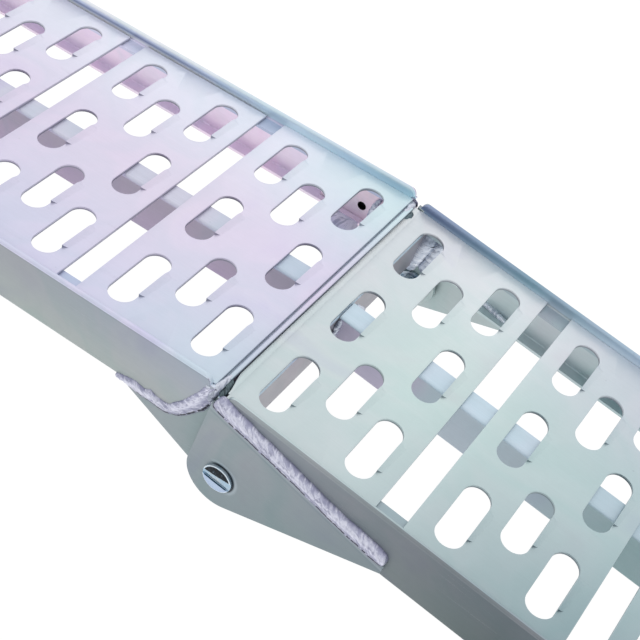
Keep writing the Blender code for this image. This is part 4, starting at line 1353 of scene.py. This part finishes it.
def turned(rings, side, steps=64, centre=AXIS, closed=False):
    """A turned solid about an axis along y, from (radius, |y|) rings."""
    points = []
    for radius, y in rings:
        points += [(x, side * y, z) for x, z in circle(centre, radius, steps)]
    return np.array(points), swept_faces(len(rings), steps, closed)


def collar(outer, inner, low, high, side, soft):
    """A ring with softened corners about the hinge axis."""
    small, slight = soft * 0.6, soft * 0.3
    return turned([
        (inner + small, low), (outer - soft, low), (outer - slight, low + slight),
        (outer, low + soft), (outer, high - soft), (outer - slight, high - slight),
        (outer - soft, high), (inner + small, high), (inner, high - small),
        (inner, low + small)], side, closed=True)


def pivot_screw(side):
    rings = [(4.0, GUSSET_INNER - 12.9), (4.7, GUSSET_INNER - 12.2)]
    for i in range(10):         # thread crests behind the nut and inside it
        y = GUSSET_INNER - 12.0 + i
        rings += [(5.0, y), (4.55, y + 0.5)]
    rings += [(5.0, GUSSET_INNER - 2.0), (5.0, SEAT)]
    points, faces = turned(rings, side, 48)
    # the head: a rounded corner and a slightly domed face
    top = SEAT + HEAD_HEIGHT
    rings = [(8.9, SEAT - 0.25), (9.25, SEAT - 0.2), (HEAD_RADIUS, SEAT + 0.1),
             (HEAD_RADIUS, top - 0.55)]
    rings += [(HEAD_RADIUS - 0.45 * (1 - math.cos(a)), top - 0.55 + 0.4 * math.sin(a))
              for a in (0.5, 1.0, 1.45)]
    rings += [(8.7, top - 0.16)]
    rings += [(r, top - 0.2 + 0.2 * (1 - (r / 9.0) ** 2))
              for r in (8.4, 7.6, 6.4, 5.0, 3.4, 1.6, 0.5)]
    corners = ((-12, -2.7), (12, -3.1), (12, 4.4), (-12, 0.6))
    slot = prism([(HEAD[0] + x, HEAD[1] + z) for x, z in corners],
                 *on_side(side, top - 0.9, top + 3))
    head_points, head_faces = cut(turned(rings, side, 72, HEAD), [slot])
    base = len(points)
    faces = faces + [[i + base for i in face] for face in head_faces]
    return np.concatenate([points, head_points]), faces


def hex_nut(side):
    """A hexagon nut with its corners turned down to a cone at both ends."""
    low, high = GUSSET_INNER - 10.6, GUSSET_INNER - 2.6
    loops = [circle(AXIS, 9.2376, 6), circle(AXIS, 5.25)]
    nut = plate(loops, *on_side(side, low, high), 0.15, 1)
    rings = [(7.6, low - 0.01), (9.3, low + 1.0), (9.3, high - 1.0), (7.6, high + 0.01)]
    return cut(nut, [turned(rings, side, 72)], "INTERSECT")


def fastener(name, node, label, shape, angle, material="hardware", attrs=None):
    piece(name + "_" + label, "B", shape, material, node + "_" + label, attrs, angle)


for side, label in SIDES:
    screw = pivot_screw(side)
    zeros = np.zeros(len(screw[0]))
    fastener("pivot_screw", "pivot_bolt", label, screw, 30.0, "bolt",
             {"edge": zeros, "shade_darkening": zeros})
    bush = collar(11.0, BORE, WEB_INNER, HALF_WIDTH, side, 0.4)
    fastener("pivot_bush", "pivot_spacer", label, bush, 40.0)
    washer = collar(10.0, BORE, GUSSET_INNER - 2.3, GUSSET_INNER - 0.3, side, 0.5)
    fastener("pivot_flat_washer", "pivot_washer", label, washer, 40.0)
    fastener("pivot_hex_nut", "pivot_nut", label, hex_nut(side), 30.0)


# ---------------------------------------------------------------- floor, light, camera
def pale_floor():
    mesh = bpy.data.meshes.new("floor")
    bm = bmesh.new()
    bmesh.ops.create_grid(bm, x_segments=2, y_segments=2, size=14.0)
    bm.to_mesh(mesh)
    bm.free()
    floor = add_object("floor", mesh)
    mat = Nodes(bpy.data.materials.new("pale_floor"))
    diffuse = mat.node("BsdfDiffuse", {"Color": (0.08, 0.08, 0.08, 1)})
    glow = mat.node("Emission", {"Color": (1, 1, 1, 1), "Strength": 0.97})
    mat.output("Material", mat.node("AddShader", (diffuse, glow)))
    mesh.materials.append(mat.owner)


def studio_world():
    """An even sky over a horizon that is dark toward -Y; the camera itself sees white."""
    world = bpy.data.worlds.new("studio")
    bpy.context.scene.world = world
    nodes = Nodes(world)
    _, y, z = nodes.split(nodes.node("TexCoord", out="Generated"))
    rise, front = z.smooth(0.0, 0.42), y.smooth(0.2, -0.9)
    horizon = nodes.mix(front, (0.80, 0.83, 0.88, 1), (0.16, 0.18, 0.22, 1))
    sky = horizon.mix(rise, (0.92, 0.92, 0.92, 1))
    seen = sky.mix(nodes.node("LightPath", out="Is Camera Ray"), (1, 1, 1, 1))
    nodes.output("World", nodes.node("Background", (seen,)))


def soft_light(name, place, size, power, tint):
    """A rectangular light aimed at the middle of the ramp."""
    light = bpy.data.lights.new(name, "AREA")
    light.shape = "RECTANGLE"
    light.size, light.size_y = size
    light.energy = power
    light.color = tint
    obj = bpy.data.objects.new(name, light)
    obj.location = place
    aim = Vector((0, 0, 0.05)) - Vector(place)
    obj.rotation_euler = aim.to_track_quat("-Z", "Y").to_euler()
    bpy.context.scene.collection.objects.link(obj)


def hinge_camera():
    """A camera on the near side, placed in the frame of half B."""
    eye = np.array((184.3547777, -537.0122119, 574.2994096))    # millimetres
    # rows: the view's right, down and forward directions
    look = np.array(((0.78681521, 0.54168159, 0.29580887),
                     (0.59094200, -0.52290617, -0.61429365),
                     (-0.17807127, 0.65814147, -0.73153293)))
    camera = bpy.data.cameras.new("camera")
    camera.sensor_width = 36.0
    camera.lens = 78.364
    camera.clip_start, camera.clip_end = 0.01, 100.0
    turn = FRAMES["B"][0] @ (look.T @ np.diag((1.0, -1.0, -1.0)))
    matrix = Matrix(turn.tolist()).to_4x4()
    matrix.translation = Vector(to_world("B", eye).tolist())
    view = bpy.data.objects.new("camera", camera)
    view.matrix_world = matrix
    bpy.context.scene.collection.objects.link(view)
    bpy.context.scene.camera = view


pale_floor()
studio_world()
soft_light("key", place=(-1.4, 1.6, 2.2), size=(2.2, 1.6), power=3.0, tint=(1.0, 0.99, 1.0))
soft_light("fill", place=(1.6, -1.8, 1.9), size=(1.8, 1.8), power=2.0, tint=(0.97, 0.99, 1.0))
bpy.context.scene.view_settings.view_transform = "Standard"
hinge_camera()
